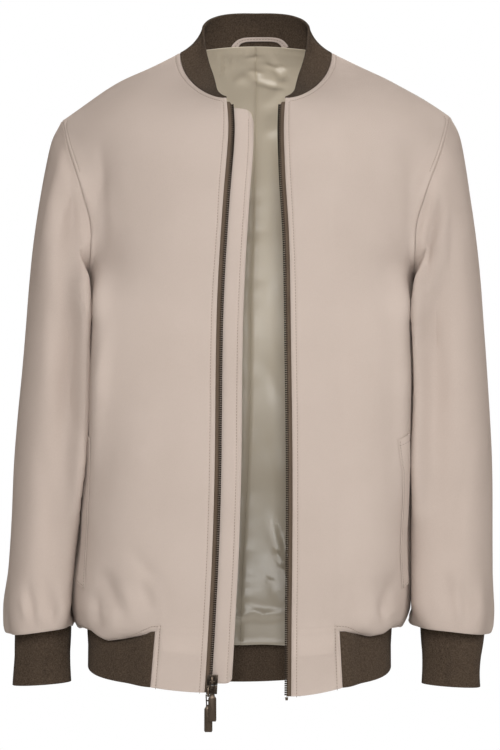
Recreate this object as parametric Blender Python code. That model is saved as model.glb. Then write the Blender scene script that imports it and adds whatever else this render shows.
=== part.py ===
"""A man's bomber jacket, filled out as if worn, front zip open, sleeves hanging.

Axes: +X towards the wearer's left, +Y towards the wearer's back, +Z up. The origin is the
middle of the neck at the height of the side-neck points. Tables are in millimetres.

Each cloth piece is a grid of points on the middle of its cloth. Pieces that are sewn
together share the points and the normals of their seam. A grid becomes a wall by moving
its points along their normals, and its edges stop short of the seam by half the seam gap.
"""

import math
from collections import namedtuple

import bpy
import numpy as np

MM = 0.001

# Cloth
SHELL_THICK = 1.8
RIB_THICK = 2.4
LINING_THICK = 1.0
SEAM_GAP = 0.3
RIB_PITCH = 7.5  # one raised rib stands for five of the knit's wales
RIB_RAISE = 0.9
LYING_GAP = 0.45  # clearance of a piece that lies on a panel
SLEEVE_CLEAR = 2.7  # from the middle of the torso's cloth to the middle of the sleeve's

# Grid resolution
TAB_COLUMNS = 3
PANEL_COLUMNS = 11
BACK_COLUMNS = 20
ARMHOLE_STEPS = 11
CURVE_SAMPLES = 48

# Fronts, zip and pocket
TAB_WIDTH = {"right": 55.5, "left": 50.5}
TAPE_BEHIND = 10.0
TAPE_SHOWS = 6.3
TAPE_THICK = 0.9
CHAIN_WIDTH = 3.4
CHAIN_THICK = 2.7
TAPE_TOP = -60.0
GUARD_THICK = 1.6
GUARD_GAP = 2.9
GUARD_ACROSS = (18.0, 0.0, -10.0, -19.5, -27.5)  # from behind the panel to the free edge
GUARD_TOP, GUARD_FOOT = -62.0, -664.0
GUARD_TOP_CORNER = (0.0, 0.0, 0.0, -0.4, -7.0)
GUARD_FOOT_CORNER = (0.0, 0.0, 0.5, 1.5, 5.0)
WELT_THICK = 1.2
WELT_TOP, WELT_BOTTOM = 7.85, 10.35  # torso stations
WELT_SHARE = {"right": (0.56, 0.70), "left": (0.40, 0.54)}  # of the way from tab to side seam

# Sliders and pulls, parked at the foot of the right tape. Across is measured from the chain.
SLIDER_DEPTH = 2.9
SLIDER_SLOT = 1.75
SLIDER_LEFT, SLIDER_WEB, SLIDER_RIGHT = -3.2, (2.3, 3.9), 8.2
BRIDGE_HALF = 1.1
BRIDGE_THICK = 0.9
PIN_HALF = 0.6
Slider = namedtuple("Slider", "name low high pull_x hinge_z rise bridge_top pull_short")
SLIDERS = [
    Slider("upper", -665.0, -654.6, -45.5, -661.4, 3.6, -657.2, 0.0),
    Slider("lower", -674.4, -665.6, -49.6, -675.3, 0.9, -668.4, 2.7),
]
Pull = namedtuple("Pull", "drop half window thick")
PULL_ROWS = [
    Pull(0.6, 2.9, 1.5, 1.2),
    Pull(-0.6, 2.9, 1.5, 1.2),
    Pull(-6.0, 2.7, 1.5, 1.2),
    Pull(-7.8, 2.6, 1.4, 1.2),
    Pull(-12.2, 2.4, 1.2, 1.2),
    Pull(-14.6, 2.6, 1.2, 1.2),
    Pull(-16.0, 3.6, 2.2, 1.8),
    Pull(-17.4, 4.2, 2.6, 1.8),
    Pull(-39.4, 4.3, 2.6, 1.8),
    Pull(-41.0, 3.5, 2.2, 1.8),
]
PULL_WINDOWS = (1, 3)  # the rows whose middle cell is open
INSERT_PIN = (1.7, 1.2, 3.2)  # half-width, half-depth, drop

# Back lining and hanging loop
LINING_COLUMNS = 6
LINING_EDGE = 0.06
LINING_NECK, LINING_DEPTH, LINING_HEM = 4.6, 8.0, 27.5  # how far inside the shell it lies
LINING_HANG = 41.0
LOOP_STEPS = 12
LOOP_MIDDLE_X, LOOP_HALF = 4.3, 27.0
LOOP_TOP, LOOP_SAG = 21.7, 9.6
LOOP_BEHIND = 2.7  # in front of the neck seam
LOOP_WIDTH, LOOP_THICK = 4.8, 1.2

# The collar band from its front end (0) to centre back (1): its height, the share of it that
# runs inwards, and how far its middle bows out.
Collar = namedtuple("Collar", "station rise lean bow")
COLLAR = [
    Collar(0.00, 1.2, 0.89, 0.0),
    Collar(0.07, 13.8, 0.91, 0.0),
    Collar(0.14, 24.6, 0.92, 0.0),
    Collar(0.24, 31.0, 0.83, -0.03),
    Collar(0.38, 33.5, 0.78, -0.12),
    Collar(0.50, 35.4, 0.71, -0.24),
    Collar(0.62, 37.0, 0.57, -0.10),
    Collar(0.74, 37.5, 0.40, 0.03),
    Collar(0.86, 37.5, 0.26, 0.07),
    Collar(1.00, 36.6, 0.25, 0.10),
]

COLOURS = {
    "shell": ((0.545, 0.451, 0.390), 0.85, 0.0),
    "rib": ((0.060, 0.042, 0.030), 0.9, 0.0),
    "lining": ((0.390, 0.345, 0.265), 0.45, 0.0),
    "tape": ((0.110, 0.080, 0.055), 0.8, 0.0),
    "hardware": ((0.050, 0.036, 0.026), 0.4, 0.6),
}

# The body's rings. Station 0 is the neck seam, 2 the shoulder tips, 6 the armpits, 11 the
# fullest part above the hem, 12 the lowest part of the overhang and 13 the hem seam.
# edge_right, edge_left: x of the two front edges. shift: x of the ring's middle. front_square,
# back_square: how far the cloth runs straight before it turns. crown: how level it is at the
# shoulder seam. dip: how far the front sags below the straight way, as it does at the neck.
Ring = namedtuple(
    "Ring",
    "station edge_right edge_left front_y front_z front_square dip shift back_y back_z back_square crown",
)
RINGS = [
    Ring(0.0, -31.0, 30.5, -97, -54, 0.16, 1.1, 0, 72, 14, 0.38, 0.0),
    Ring(1.0, -28.5, 28.5, -108, -84, 0.29, 0.3, 0, 90, -14, 0.38, 0.55),
    Ring(2.0, -30.5, 29.5, -119, -116, 0.35, 0.0, 0, 103, -48, 0.35, 0.45),
    Ring(3.0, -33.0, 30.5, -125, -144, 0.36, 0.0, -0.5, 110, -88, 0.35, 0.15),
    Ring(4.0, -35.0, 32.5, -129, -172, 0.37, 0.0, -2, 114, -136, 0.35, 0.0),
    Ring(5.0, -37.5, 34.5, -132, -210, 0.41, 0.0, -3, 115, -192, 0.40, 0.0),
    Ring(5.5, -39.0, 35.0, -134, -236, 0.47, 0.0, -4.5, 114, -226, 0.48, 0.0),
    Ring(6.0, -40.5, 35.3, -136, -264, 0.53, 0.0, -6, 113, -260, 0.56, 0.0),
    Ring(7.0, -42.0, 36.3, -138, -340, 0.54, 0.0, -6, 110, -335, 0.58, 0.0),
    Ring(8.0, -42.5, 37.6, -137, -430, 0.54, 0.0, -8, 108, -425, 0.58, 0.0),
    Ring(9.0, -44.7, 37.4, -134, -510, 0.54, 0.0, -12, 109, -510, 0.58, 0.0),
    Ring(10.0, -46.8, 37.0, -131, -558, 0.53, 0.0, -15, 113, -565, 0.57, 0.0),
    Ring(11.0, -48.5, 36.7, -129, -588, 0.53, 0.0, -16.5, 117, -600, 0.55, 0.0),
    Ring(12.0, -49.3, 36.5, -128, -604, 0.52, 0.0, -17, 117, -626, 0.53, 0.0),
    Ring(13.0, -49.6, 36.5, -127, -611, 0.51, 0.0, -17.6, 116, -622, 0.51, 0.0),
]

# The seams at which the rings end: half is the distance from the ring's middle, and turn the
# direction in which the cloth runs into the seam, 0 outwards and 90 backwards.
Shoulder = namedtuple("Shoulder", "station half y z front_turn back_turn")
SHOULDER = [
    Shoulder(0.0, 81, 0, 0, 90, 90),
    Shoulder(0.5, 113, 1, -15.5, 90, 90),
    Shoulder(1.0, 145, 2, -30, 88, 92),
    Shoulder(2.0, 207, 4, -72, 62, 118),
]
SHOULDER_LIFT = {"right": 0.0, "left": 4.5}  # how much higher each shoulder tip is
Armhole = namedtuple(
    "Armhole", "station front_half front_y front_z front_turn back_half back_y back_z back_turn"
)
ARMHOLE = [
    Armhole(2.0, 207, 4, -72, 62, 207, 4, -72, 118),
    Armhole(3.0, 198, -50, -103, 44, 196, 52, -93, 133),
    Armhole(4.0, 181, -83, -150, 30, 181, 79, -140, 149),
    Armhole(5.0, 170, -86, -198, 38, 171, 74, -192, 141),
    Armhole(5.5, 171, -60, -231, 64, 171.5, 48, -230, 115),
    Armhole(6.0, 174, -2, -252, 90, 174, -2, -252, 90),
]

SideSeam = namedtuple("SideSeam", "station half y z")
SIDE_SEAM = [
    SideSeam(6.0, 174, -2, -252),
    SideSeam(7.0, 174, -2, -330),
    SideSeam(8.0, 173.5, -2, -420),
    SideSeam(9.0, 177, -2, -508),
    SideSeam(10.0, 180.5, -2, -555),
    SideSeam(11.0, 181.5, -2, -590),
    SideSeam(12.0, 176, -2, -610),
    SideSeam(13.0, 176.5, -2, -604),
]

# Below the hem seam: how far each edge drops, and how far the body's cloth is drawn in.
HEM_TUCK = {11.0: 0.0, 12.0: 4.5, 13.0: 15.0}
HEM_ROWS = 3  # rows of points down the hem rib and the front tabs
RIB_DROP = {"side": 47.0, "back": 58.0}
TAB_FOOT = {"right": (-53.4, -673.0), "left": (36.2, -677.0)}
TAB_CORNER = {"right": (-110.0, -667.8), "left": (89.8, -668.3)}

# The sleeves' rings, from the armhole (0) to the cuff seam (14). out is the outer edge and
# in the inner edge; front_y and back_y the depth.
Sleeve = namedtuple(
    "Sleeve", "station out_right out_left out_z in_right in_left in_z front_y back_y square"
)
SLEEVES = [
    Sleeve(0, 207, 207, -72, 180, 168, -252, -98, 90, 1.00),
    Sleeve(1, 217.5, 217, -92, 189, 177, -254, -100, 91, 1.00),
    Sleeve(2, 225, 224, -125, 188, 176, -259, -100, 90, 1.02),
    Sleeve(3, 231, 229, -160, 185, 173, -267, -98, 88, 1.05),
    Sleeve(4, 236.5, 234, -202, 180, 168, -278, -95, 85, 1.08),
    Sleeve(5, 241, 238.5, -246, 176, 164, -293, -92, 82, 1.10),
    Sleeve(6, 244.5, 242, -292, 176, 164, -314, -89, 79, 1.12),
    Sleeve(7, 248.5, 245.5, -338, 176, 164, -344, -87, 76, 1.12),
    Sleeve(8, 253.5, 248.5, -388, 176, 163, -387, -84, 71, 1.12),
    Sleeve(9, 257.5, 250.5, -440, 178, 161, -438, -82, 65, 1.12),
    Sleeve(10, 260, 251.5, -495, 183, 161, -492, -80, 57, 1.12),
    Sleeve(11, 263.5, 252, -545, 190, 162, -541, -80, 49, 1.10),
    Sleeve(12, 268, 252, -588, 194, 164, -580, -79, 43, 1.08),
    Sleeve(13, 265, 248, -618, 192, 167, -608, -77, 37, 1.06),
    Sleeve(14, 256, 243, -610, 197, 177, -604, -58, 6, 1.02),
]
SLEEVE_RINGS = (0, 0.6, 1.2, 2, 3, 4, 5, 6, 7, 8, 8.7, 9.4, 10, 10.5, 11, 11.5, 12, 12.5, 13, 14)
ARMHOLE_FADE = 5.0  # sleeve stations over which the armhole's shape fades out
CUFF_FOOT = {"right": (-227.5, -29.0, -671.0), "left": (207.0, -29.0, -673.0)}
CUFF_HALF = (29.0, 27.0)
SLEEVE_INSIDE = 0.45  # how much squarer the sleeve is on its inner side
SLEEVE_HUG, SLEEVE_HUG_WITHIN = 0.85, 24.0
SLEEVE_GATHERS = 6
SLEEVE_GATHER_DEPTH = 2.6

# Large folds: a path seen from the front or back (x and z of its points), the half-width
# over which it fades, and its depth, negative for a trough.
Fold = namedtuple("Fold", "piece side path width depth")
FOLDS = [
    Fold("torso", "front", ((-164, -95), (-162, -135), (-161, -175)), 17, -4.0),
    Fold("torso", "front", ((167, -90), (166, -125), (163, -165)), 17, -4.0),
    Fold("torso", "front", ((-146, -240), (-145, -300), (-153, -360), (-160, -410)), 20, 4.0),
    Fold("torso", "front", ((130, -250), (133, -310), (140, -380)), 20, 3.0),
    Fold("torso", "front", ((-150, -545), (-168, -590)), 14, -4.0),
    Fold("torso", "front", ((128, -550), (146, -592)), 14, -4.0),
    Fold("torso", "back", ((-150, -90), (-146, -150), (-150, -205)), 18, -4.5),
    Fold("torso", "back", ((150, -90), (146, -150), (144, -205)), 18, -4.5),
    Fold("torso", "back", ((-120, -555), (-100, -600)), 16, -4.0),
    Fold("torso", "back", ((-40, -560), (-45, -605)), 16, -3.5),
    Fold("torso", "back", ((45, -560), (35, -605)), 16, -3.5),
    Fold("torso", "back", ((110, -555), (90, -600)), 16, -4.0),
    Fold("sleeve", "front", ((-204, -115), (-215, -180), (-220, -240), (-226, -310)), 15, 4.0),
    Fold("sleeve", "front", ((-196, -135), (-192, -185), (-193, -225)), 13, -4.5),
    Fold("sleeve", "front", ((-203, -265), (-201, -330), (-192, -410)), 14, -4.5),
    Fold("sleeve", "front", ((206, -90), (207, -160), (203, -240), (194, -320), (188, -390)), 15, -4.5),
    Fold("sleeve", "back", ((-200, -120), (-212, -200), (-215, -290)), 16, -4.0),
    Fold("sleeve", "back", ((200, -120), (211, -200), (213, -290)), 16, -4.0),
    Fold("sleeve", "back", ((-222, -330), (-235, -410)), 18, -3.5),
    Fold("sleeve", "back", ((215, -330), (228, -410)), 18, -3.5),
]


# Curves and tables


def read(rows, column, station):
    """A table column at a station between its rows, on a smooth curve without overshoot."""
    s = np.array([row.station for row in rows], float)
    v = np.array([getattr(row, column) for row in rows], float)
    return monotone(s, v, station)


def monotone(s, v, at):
    """Cubic Hermite interpolation of v at s, with slopes limited so that it never overshoots."""
    step = np.diff(s)
    rate = np.diff(v) / step
    slope = np.zeros(len(v))
    slope[0], slope[-1] = rate[0], rate[-1]
    for i in range(1, len(v) - 1):
        if rate[i - 1] * rate[i] > 0:
            a, b = 2 * step[i] + step[i - 1], step[i] + 2 * step[i - 1]
            slope[i] = (a + b) / (a / rate[i - 1] + b / rate[i])
    i = int(np.clip(np.searchsorted(s, at, "right") - 1, 0, len(s) - 2))
    t = min(max((at - s[i]) / step[i], 0.0), 1.0)
    h = step[i]
    return (
        v[i] * (1 + 2 * t) * (1 - t) ** 2
        + slope[i] * h * t * (1 - t) ** 2
        + v[i + 1] * t * t * (3 - 2 * t)
        - slope[i + 1] * h * t * t * (1 - t)
    )


def smooth_step(x, low, high):
    t = np.clip((x - low) / (high - low), 0.0, 1.0)
    return t * t * (3 - 2 * t)


def bezier(a, b, c, d, count):
    t = np.linspace(0, 1, count)[:, None]
    u = 1 - t
    return u**3 * a + 3 * u * u * t * b + 3 * u * t * t * c + t**3 * d


def along(line, shares):
    """Points at the given shares of a line's length."""
    length = np.concatenate([[0], np.cumsum(np.linalg.norm(np.diff(line, axis=0), axis=1))])
    at = np.asarray(shares) * length[-1]
    return np.stack([np.interp(at, length, line[:, k]) for k in range(3)], axis=1)


def unit(v):
    return v / np.maximum(np.linalg.norm(v, axis=-1, keepdims=True), 1e-9)


# The torso's surface


def seam_point(side, s, face):
    """Where ring s meets its shoulder, armhole or side seam, and the cloth's direction there."""
    sign = -1 if side == "right" else 1
    rows = SHOULDER if s <= 2 else ARMHOLE if s < 6 else SIDE_SEAM
    prefix = face + "_" if rows is ARMHOLE else ""
    half, y, z = (read(rows, prefix + column, s) for column in ("half", "y", "z"))
    z += SHOULDER_LIFT[side] * (smooth_step(s, 1, 2) if s <= 2 else 1 - smooth_step(s, 2, 4))
    turn = math.radians(90 if rows is SIDE_SEAM else read(rows, face + "_turn", s))
    point = np.array([read(RINGS, "shift", s) + sign * half, y, z])
    return point, np.array([sign * math.cos(turn), math.sin(turn), 0])


def front_line(side, s):
    """A dense line across one front at station s, from the front edge to its outer seam."""
    start = np.array([read(RINGS, column, s) for column in (f"edge_{side}", "front_y", "front_z")])
    end, heading = seam_point(side, s, "front")
    reach = read(RINGS, "front_square", s) * np.linalg.norm(end - start)
    b = start + reach * np.array([-1 if side == "right" else 1, -0.02, 0])
    c = end - reach * heading
    dip = read(RINGS, "dip", s) * np.array([0.33, 0.2])
    level = start[2] + (end[2] - start[2]) * (np.array([1, 2]) / 3 - dip)
    b[2] = level[0]
    c[2] = level[1] + (end[2] - level[1]) * read(RINGS, "crown", s)
    return bezier(start, b, c, end, CURVE_SAMPLES)


def back_line(side, s):
    """A dense line across half the back at station s, from its outer seam to centre back."""
    start, heading = seam_point(side, s, "back")
    end = np.array([read(RINGS, "shift", s), read(RINGS, "back_y", s), read(RINGS, "back_z", s)])
    reach = read(RINGS, "back_square", s) * np.linalg.norm(end - start)
    b = start + reach * heading
    c = end + reach * np.array([-1 if side == "right" else 1, 0, 0])
    b[2] = start[2] + (end[2] - start[2]) / 3 * (1 - read(RINGS, "crown", s))
    c[2] = end[2]
    return bezier(start, b, c, end, CURVE_SAMPLES)


def tab_share(side, line):
    length = np.linalg.norm(np.diff(line, axis=0), axis=1).sum()
    return min(TAB_WIDTH[side] / length, 0.3)


def front_shares(side, line, tab_columns, columns):
    tab = tab_share(side, line)
    near = np.linspace(0, tab, tab_columns + 1)
    return np.concatenate([near, np.linspace(tab, 1, columns - tab_columns + 1)[1:]])


def tuck(points, s, weight):
    """Draws the lowest rows in towards the ring's middle, as the rib band does."""
    stations = np.array(list(HEM_TUCK))
    depth = monotone(stations, np.array(list(HEM_TUCK.values())), s) if s > stations[0] else 0.0
    middle = np.array([read(RINGS, "shift", s), -2.0, 0])
    inward = middle - points
    inward[:, 2] = 0
    return points + unit(inward) * depth * weight[:, None]


def front_grid(side, stations, tab_columns, columns):
    rows = []
    for s in stations:
        line = front_line(side, s)
        shares = front_shares(side, line, tab_columns, columns)
        weight = smooth_step(shares, tab_share(side, line), tab_share(side, line) + 0.2)
        rows.append(tuck(along(line, shares), s, weight))
    return np.array(rows)


def back_grid(stations, columns):
    shares = np.linspace(0, 1, columns // 2 + 1)
    rows = []
    for s in stations:
        right = along(back_line("right", s), shares)
        left = along(back_line("left", s), shares)
        row = np.concatenate([right, left[::-1][1:]])
        rows.append(tuck(row, s, np.ones(len(row))))
    return np.array(rows)


def below_hem(seam_row, drop, count):
    """Rows below the hem seam. drop gives how far each point of the last row is moved."""
    t = np.linspace(0, 1, count)[:, None, None]
    return seam_row[None] + t * drop[None]


def tab_drop(side, seam_row, tab_columns):
    """How far the tab's points move from the hem seam to the tab's foot."""
    foot, corner = TAB_FOOT[side], TAB_CORNER[side]
    share = np.linspace(0, 1, tab_columns + 1)
    drop = np.zeros((tab_columns + 1, 3))
    drop[:, 0] = foot[0] + (corner[0] - foot[0]) * share - seam_row[: tab_columns + 1, 0]
    drop[:, 1] = 3.0
    drop[:, 2] = foot[1] + (corner[1] - foot[1]) * share**1.7 - seam_row[: tab_columns + 1, 2]
    return drop


# Sleeves


def sleeve_ring(side, s, count):
    """One ring of a sleeve, from its outermost point over the front and round the inside."""
    sign = -1 if side == "right" else 1
    out = np.array([sign * read(SLEEVES, f"out_{side}", s), -4.0, read(SLEEVES, "out_z", s)])
    inner = np.array([sign * read(SLEEVES, f"in_{side}", s), -3.0, read(SLEEVES, "in_z", s)])
    middle, across = (out + inner) / 2, (out - inner) / 2
    front, back = read(SLEEVES, "front_y", s), read(SLEEVES, "back_y", s)
    turn = np.linspace(0, 2 * math.pi, count, endpoint=False)
    inside = SLEEVE_INSIDE * smooth_step(s, 0, 3) * smooth_step(-np.cos(turn), 0, 0.3)
    power = 1 / (read(SLEEVES, "square", s) + inside)
    cos = np.sign(np.cos(turn)) * np.abs(np.cos(turn)) ** power
    sin = np.sign(np.sin(turn)) * np.abs(np.sin(turn)) ** power
    points = middle + cos[:, None] * across
    points[:, 1] += np.where(sin > 0, sin * (front - middle[1]), -sin * (back - middle[1]))
    return points


def torso_side(side):
    """Lines round one side of the torso, for keeping the sleeve clear of it."""
    lines = []
    for s in np.linspace(5.6, 13, 40):
        front = front_line(side, s)[CURVE_SAMPLES // 3 :]
        back = back_line(side, s)[: 2 * CURVE_SAMPLES // 3]
        line = np.concatenate([front, back[1:]])
        lines.append(tuck(line, s, np.ones(len(line))))
    return lines


def keep_clear(points, side, lines, hug):
    """Keeps a sleeve clear of the torso, and lays its inner side along the torso's side."""
    sign = -1 if side == "right" else 1
    heights = np.array([line[len(line) // 2, 2] for line in lines])
    moved = points.copy()
    for p in moved:
        if p[2] > heights[0]:
            continue
        near = np.argsort(np.abs(heights - p[2]))[:3]
        reach = max(np.interp(p[1], lines[i][:, 1], sign * lines[i][:, 0]) for i in near)
        gap = sign * p[0] - reach - SLEEVE_CLEAR
        gap = gap if gap > 6 else 6 * math.exp((gap - 6) / 6)
        gap -= hug * gap * math.exp(-((gap / SLEEVE_HUG_WITHIN) ** 2))
        p[0] = sign * (reach + SLEEVE_CLEAR + gap)
    return moved


def sleeve_grid(side, stations, loop, lines):
    """loop is the armhole's points, in the same order as a ring's."""
    count = len(loop)
    start = sleeve_ring(side, 0, count)
    rows = []
    for s in stations:
        ring = sleeve_ring(side, s, count)
        ring = ring + (loop - start) * (1 - smooth_step(s, 0, ARMHOLE_FADE)) ** 1.5
        gather = SLEEVE_GATHER_DEPTH * max(0.0, 1 - abs(s - 12.6) / 1.4)
        turn = np.linspace(0, 2 * math.pi, count, endpoint=False)
        wave = gather * np.cos(SLEEVE_GATHERS * turn + 0.6 * np.sin(turn))
        outward = ring - ring.mean(axis=0)
        outward[:, 2] = 0
        ring = ring + unit(outward) * wave[:, None]
        hug = SLEEVE_HUG * (1 - smooth_step(s, 12, 13))
        rows.append(keep_clear(ring, side, lines, hug) if s > 0 else ring)
    return np.array(rows)


# Folds


def distance_to_path(p, path):
    """Distance in x and z from points to a path, and the share of the path that is nearest."""
    path = np.array(path, float)
    best = np.full(p.shape[:-1], 1e9)
    share = np.zeros(p.shape[:-1])
    flat = p[..., [0, 2]]
    for i in range(len(path) - 1):
        a, b = path[i], path[i + 1]
        t = np.clip(((flat - a) @ (b - a)) / ((b - a) @ (b - a)), 0, 1)
        d = np.linalg.norm(flat - a - t[..., None] * (b - a), axis=-1)
        nearer = d < best
        best = np.where(nearer, d, best)
        share = np.where(nearer, (i + t) / (len(path) - 1), share)
    return best, share


def fold_depth(piece, points, normals):
    depth = np.zeros(points.shape[:-1])
    for fold in FOLDS:
        if fold.piece != piece:
            continue
        facing = -normals[..., 1] if fold.side == "front" else normals[..., 1]
        d, share = distance_to_path(points, fold.path)
        fade = np.sin(np.pi * np.clip(0.06 + 0.88 * share, 0, 1))
        depth += fold.depth * fade * np.exp(-((d / fold.width) ** 2)) * smooth_step(facing, 0.0, 0.5)
    return depth


# Grids, normals and walls


class Grid:
    """Points on the middle of a piece of cloth. used marks the cells that are cloth."""

    def __init__(self, name, points, flip=False, wrap=False, used=None):
        self.points = np.array(points, float)
        self.name, self.flip, self.wrap = name, flip, wrap
        rows, columns = self.points.shape[:2]
        whole = np.ones((rows - 1, columns if wrap else columns - 1), bool)
        self.used = whole if used is None else used
        self.normals = self.face_normals()

    def cells(self):
        """Corner indices of each cell, anticlockwise from outside, its shorter diagonal from the first."""
        columns = self.points.shape[1]
        p = self.points
        found = []
        for r, c in zip(*np.nonzero(self.used)):
            d = (c + 1) % columns
            ring = [(r, c), (r + 1, c), (r + 1, d), (r, d)]
            ring = ring[::-1] if self.flip else ring
            first, second = (np.linalg.norm(p[ring[k]] - p[ring[k + 2]]) for k in (0, 1))
            found.append(ring if first <= second else ring[1:] + ring[:1])
        return found

    def face_normals(self):
        total = np.zeros_like(self.points)
        for a, b, c, d in self.cells():
            p = self.points
            n = unit(np.cross(p[c] - p[a], p[d] - p[b]))
            for corner in (a, b, c, d):
                total[corner] += n
        return unit(total)


def share_normals(grids):
    """Gives points that several grids have in common the mean of their normals."""
    found = {}
    for grid in grids:
        for place in {corner for cell in grid.cells() for corner in cell}:
            key = tuple(np.round(grid.points[place], 2))
            found.setdefault(key, []).append((grid, place))
    for members in found.values():
        mean = unit(sum(grid.normals[place] for grid, place in members))
        for grid, place in members:
            grid.normals[place] = mean


def apply_folds(grid, piece, fade):
    depth = fold_depth(piece, grid.points, grid.normals) * fade
    grid.points = grid.points + grid.normals * depth[..., None]


def wall(grid, out, into, inset=SEAM_GAP / 2):
    """Vertices and faces of the closed wall round a grid, out and into deep on its two sides."""
    cells = grid.cells()
    edges = {}
    for cell in cells:
        for a, b in zip(cell, cell[1:] + cell[:1]):
            edges[(a, b)] = True
    rim = [edge for edge in edges if edge[::-1] not in edges]
    points = grid.points.copy()
    inward = {}
    for a, b in rim:
        along_edge = grid.points[b] - grid.points[a]
        for place in (a, b):
            side = unit(np.cross(grid.normals[place], unit(along_edge)))
            inward.setdefault(place, []).append(side)
    for place, sides in inward.items():
        total = sum(sides)
        if len(sides) == 2:
            total = total / max(1 + float(sides[0] @ sides[1]), 0.5)
        points[place] = points[place] + total * inset
    out, into = (np.broadcast_to(depth, points.shape[:2]) for depth in (out, into))
    index = {}
    vertices = []
    for cell in cells:
        for place in cell:
            if place not in index:
                index[place] = len(vertices)
                n = grid.normals[place]
                vertices += [points[place] + n * out[place], points[place] - n * into[place]]
    faces = []
    for cell in cells:
        a, b, c, d = (index[place] for place in cell)
        faces.append((a, b, c, d))
        faces.append((a + 1, d + 1, c + 1, b + 1))
    for a, b in rim:
        ring = [index[b], index[a], index[a] + 1, index[b] + 1]
        first, second = (np.linalg.norm(vertices[ring[k]] - vertices[ring[k + 2]]) for k in (0, 1))
        faces.append(tuple(ring if first <= second else ring[1:] + ring[:1]))
    return vertices, faces


def finer(grid, ways):
    """The same grid with each column split, on the straight lines between its points."""
    p, n = grid.points, grid.normals
    if grid.wrap:
        p, n = np.concatenate([p, p[:, :1]], axis=1), np.concatenate([n, n[:, :1]], axis=1)
    points, normals = [], []
    for c in range(p.shape[1] - 1):
        for k in range(ways[c]):
            t = k / ways[c]
            points.append(p[:, c] * (1 - t) + p[:, c + 1] * t)
            normals.append(unit(n[:, c] * (1 - t) + n[:, c + 1] * t))
    if not grid.wrap:
        points.append(p[:, -1])
        normals.append(n[:, -1])
    result = Grid(grid.name, np.stack(points, axis=1), grid.flip, grid.wrap)
    result.normals = np.stack(normals, axis=1)
    return result


def ribbed_wall(grid):
    """A rib band: each column is split into an even number of strips, crest and valley by turns."""
    rows, columns = grid.points.shape[:2]
    ways = []
    for c in range(grid.used.shape[1]):
        width = np.linalg.norm(grid.points[:, (c + 1) % columns] - grid.points[:, c], axis=1).mean()
        ways.append(max(2, 2 * round(width / RIB_PITCH)))
    fine = finer(grid, ways)
    crest = np.arange(fine.points.shape[1]) % 2
    ends = np.ones(rows)
    ends[0] = 0.0
    out = RIB_THICK / 2 + (RIB_RAISE * crest[None, :] - RIB_RAISE / 3) * ends[:, None]
    return wall(fine, out, RIB_THICK / 2)


# Objects


def make_object(name, vertices, faces, colour, smooth=True):
    mesh = bpy.data.meshes.new(name)
    mesh.from_pydata([tuple(float(x) * MM for x in v) for v in vertices], [], faces)
    mesh.validate()
    if smooth:
        mesh.shade_smooth()
        mesh.set_sharp_from_angle(angle=math.radians(50))
    obj = bpy.data.objects.new(name, mesh)
    bpy.context.scene.collection.objects.link(obj)
    material = bpy.data.materials.new(name)
    material.use_nodes = True
    shader = material.node_tree.nodes["Principled BSDF"]
    base, roughness, metallic = COLOURS[colour]
    shader.inputs["Base Color"].default_value = (*base, 1.0)
    shader.inputs["Roughness"].default_value = roughness
    shader.inputs["Metallic"].default_value = metallic
    mesh.materials.append(material)
    return obj


def sweep(frames, section):
    """Vertices and faces of a closed bar: section is a polygon in each frame's two directions."""
    vertices, faces = [], []
    count = len(section)
    for origin, first, second in frames:
        vertices += [origin + first * a + second * b for a, b in section]
    for r in range(len(frames) - 1):
        for k in range(count):
            m = (k + 1) % count
            faces.append((r * count + k, r * count + m, (r + 1) * count + m, (r + 1) * count + k))
    faces.append(tuple(reversed(range(count))))
    last = (len(frames) - 1) * count
    faces.append(tuple(last + k for k in range(count)))
    return vertices, faces


def fix_direction(vertices, faces):
    """Turns every face over if the body is inside out."""
    volume = 0.0
    for face in faces:
        for i in range(1, len(face) - 1):
            a, b, c = (np.asarray(vertices[face[j]]) for j in (0, i, i + 1))
            volume += float(np.dot(a, np.cross(b, c)))
    return faces if volume > 0 else [tuple(reversed(face)) for face in faces]


# Pieces


def torso_stations():
    shoulder = np.linspace(0, 2, 6)[:-1]
    armhole = np.linspace(2, 6, ARMHOLE_STEPS + 1)
    body = (6.5, 7.0, 7.5, 8.0, 8.5, 9.0, 9.5, 10.0, 10.5, 11.0, 11.5, 12.0, 13.0)
    return np.concatenate([shoulder, armhole, body])


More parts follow.
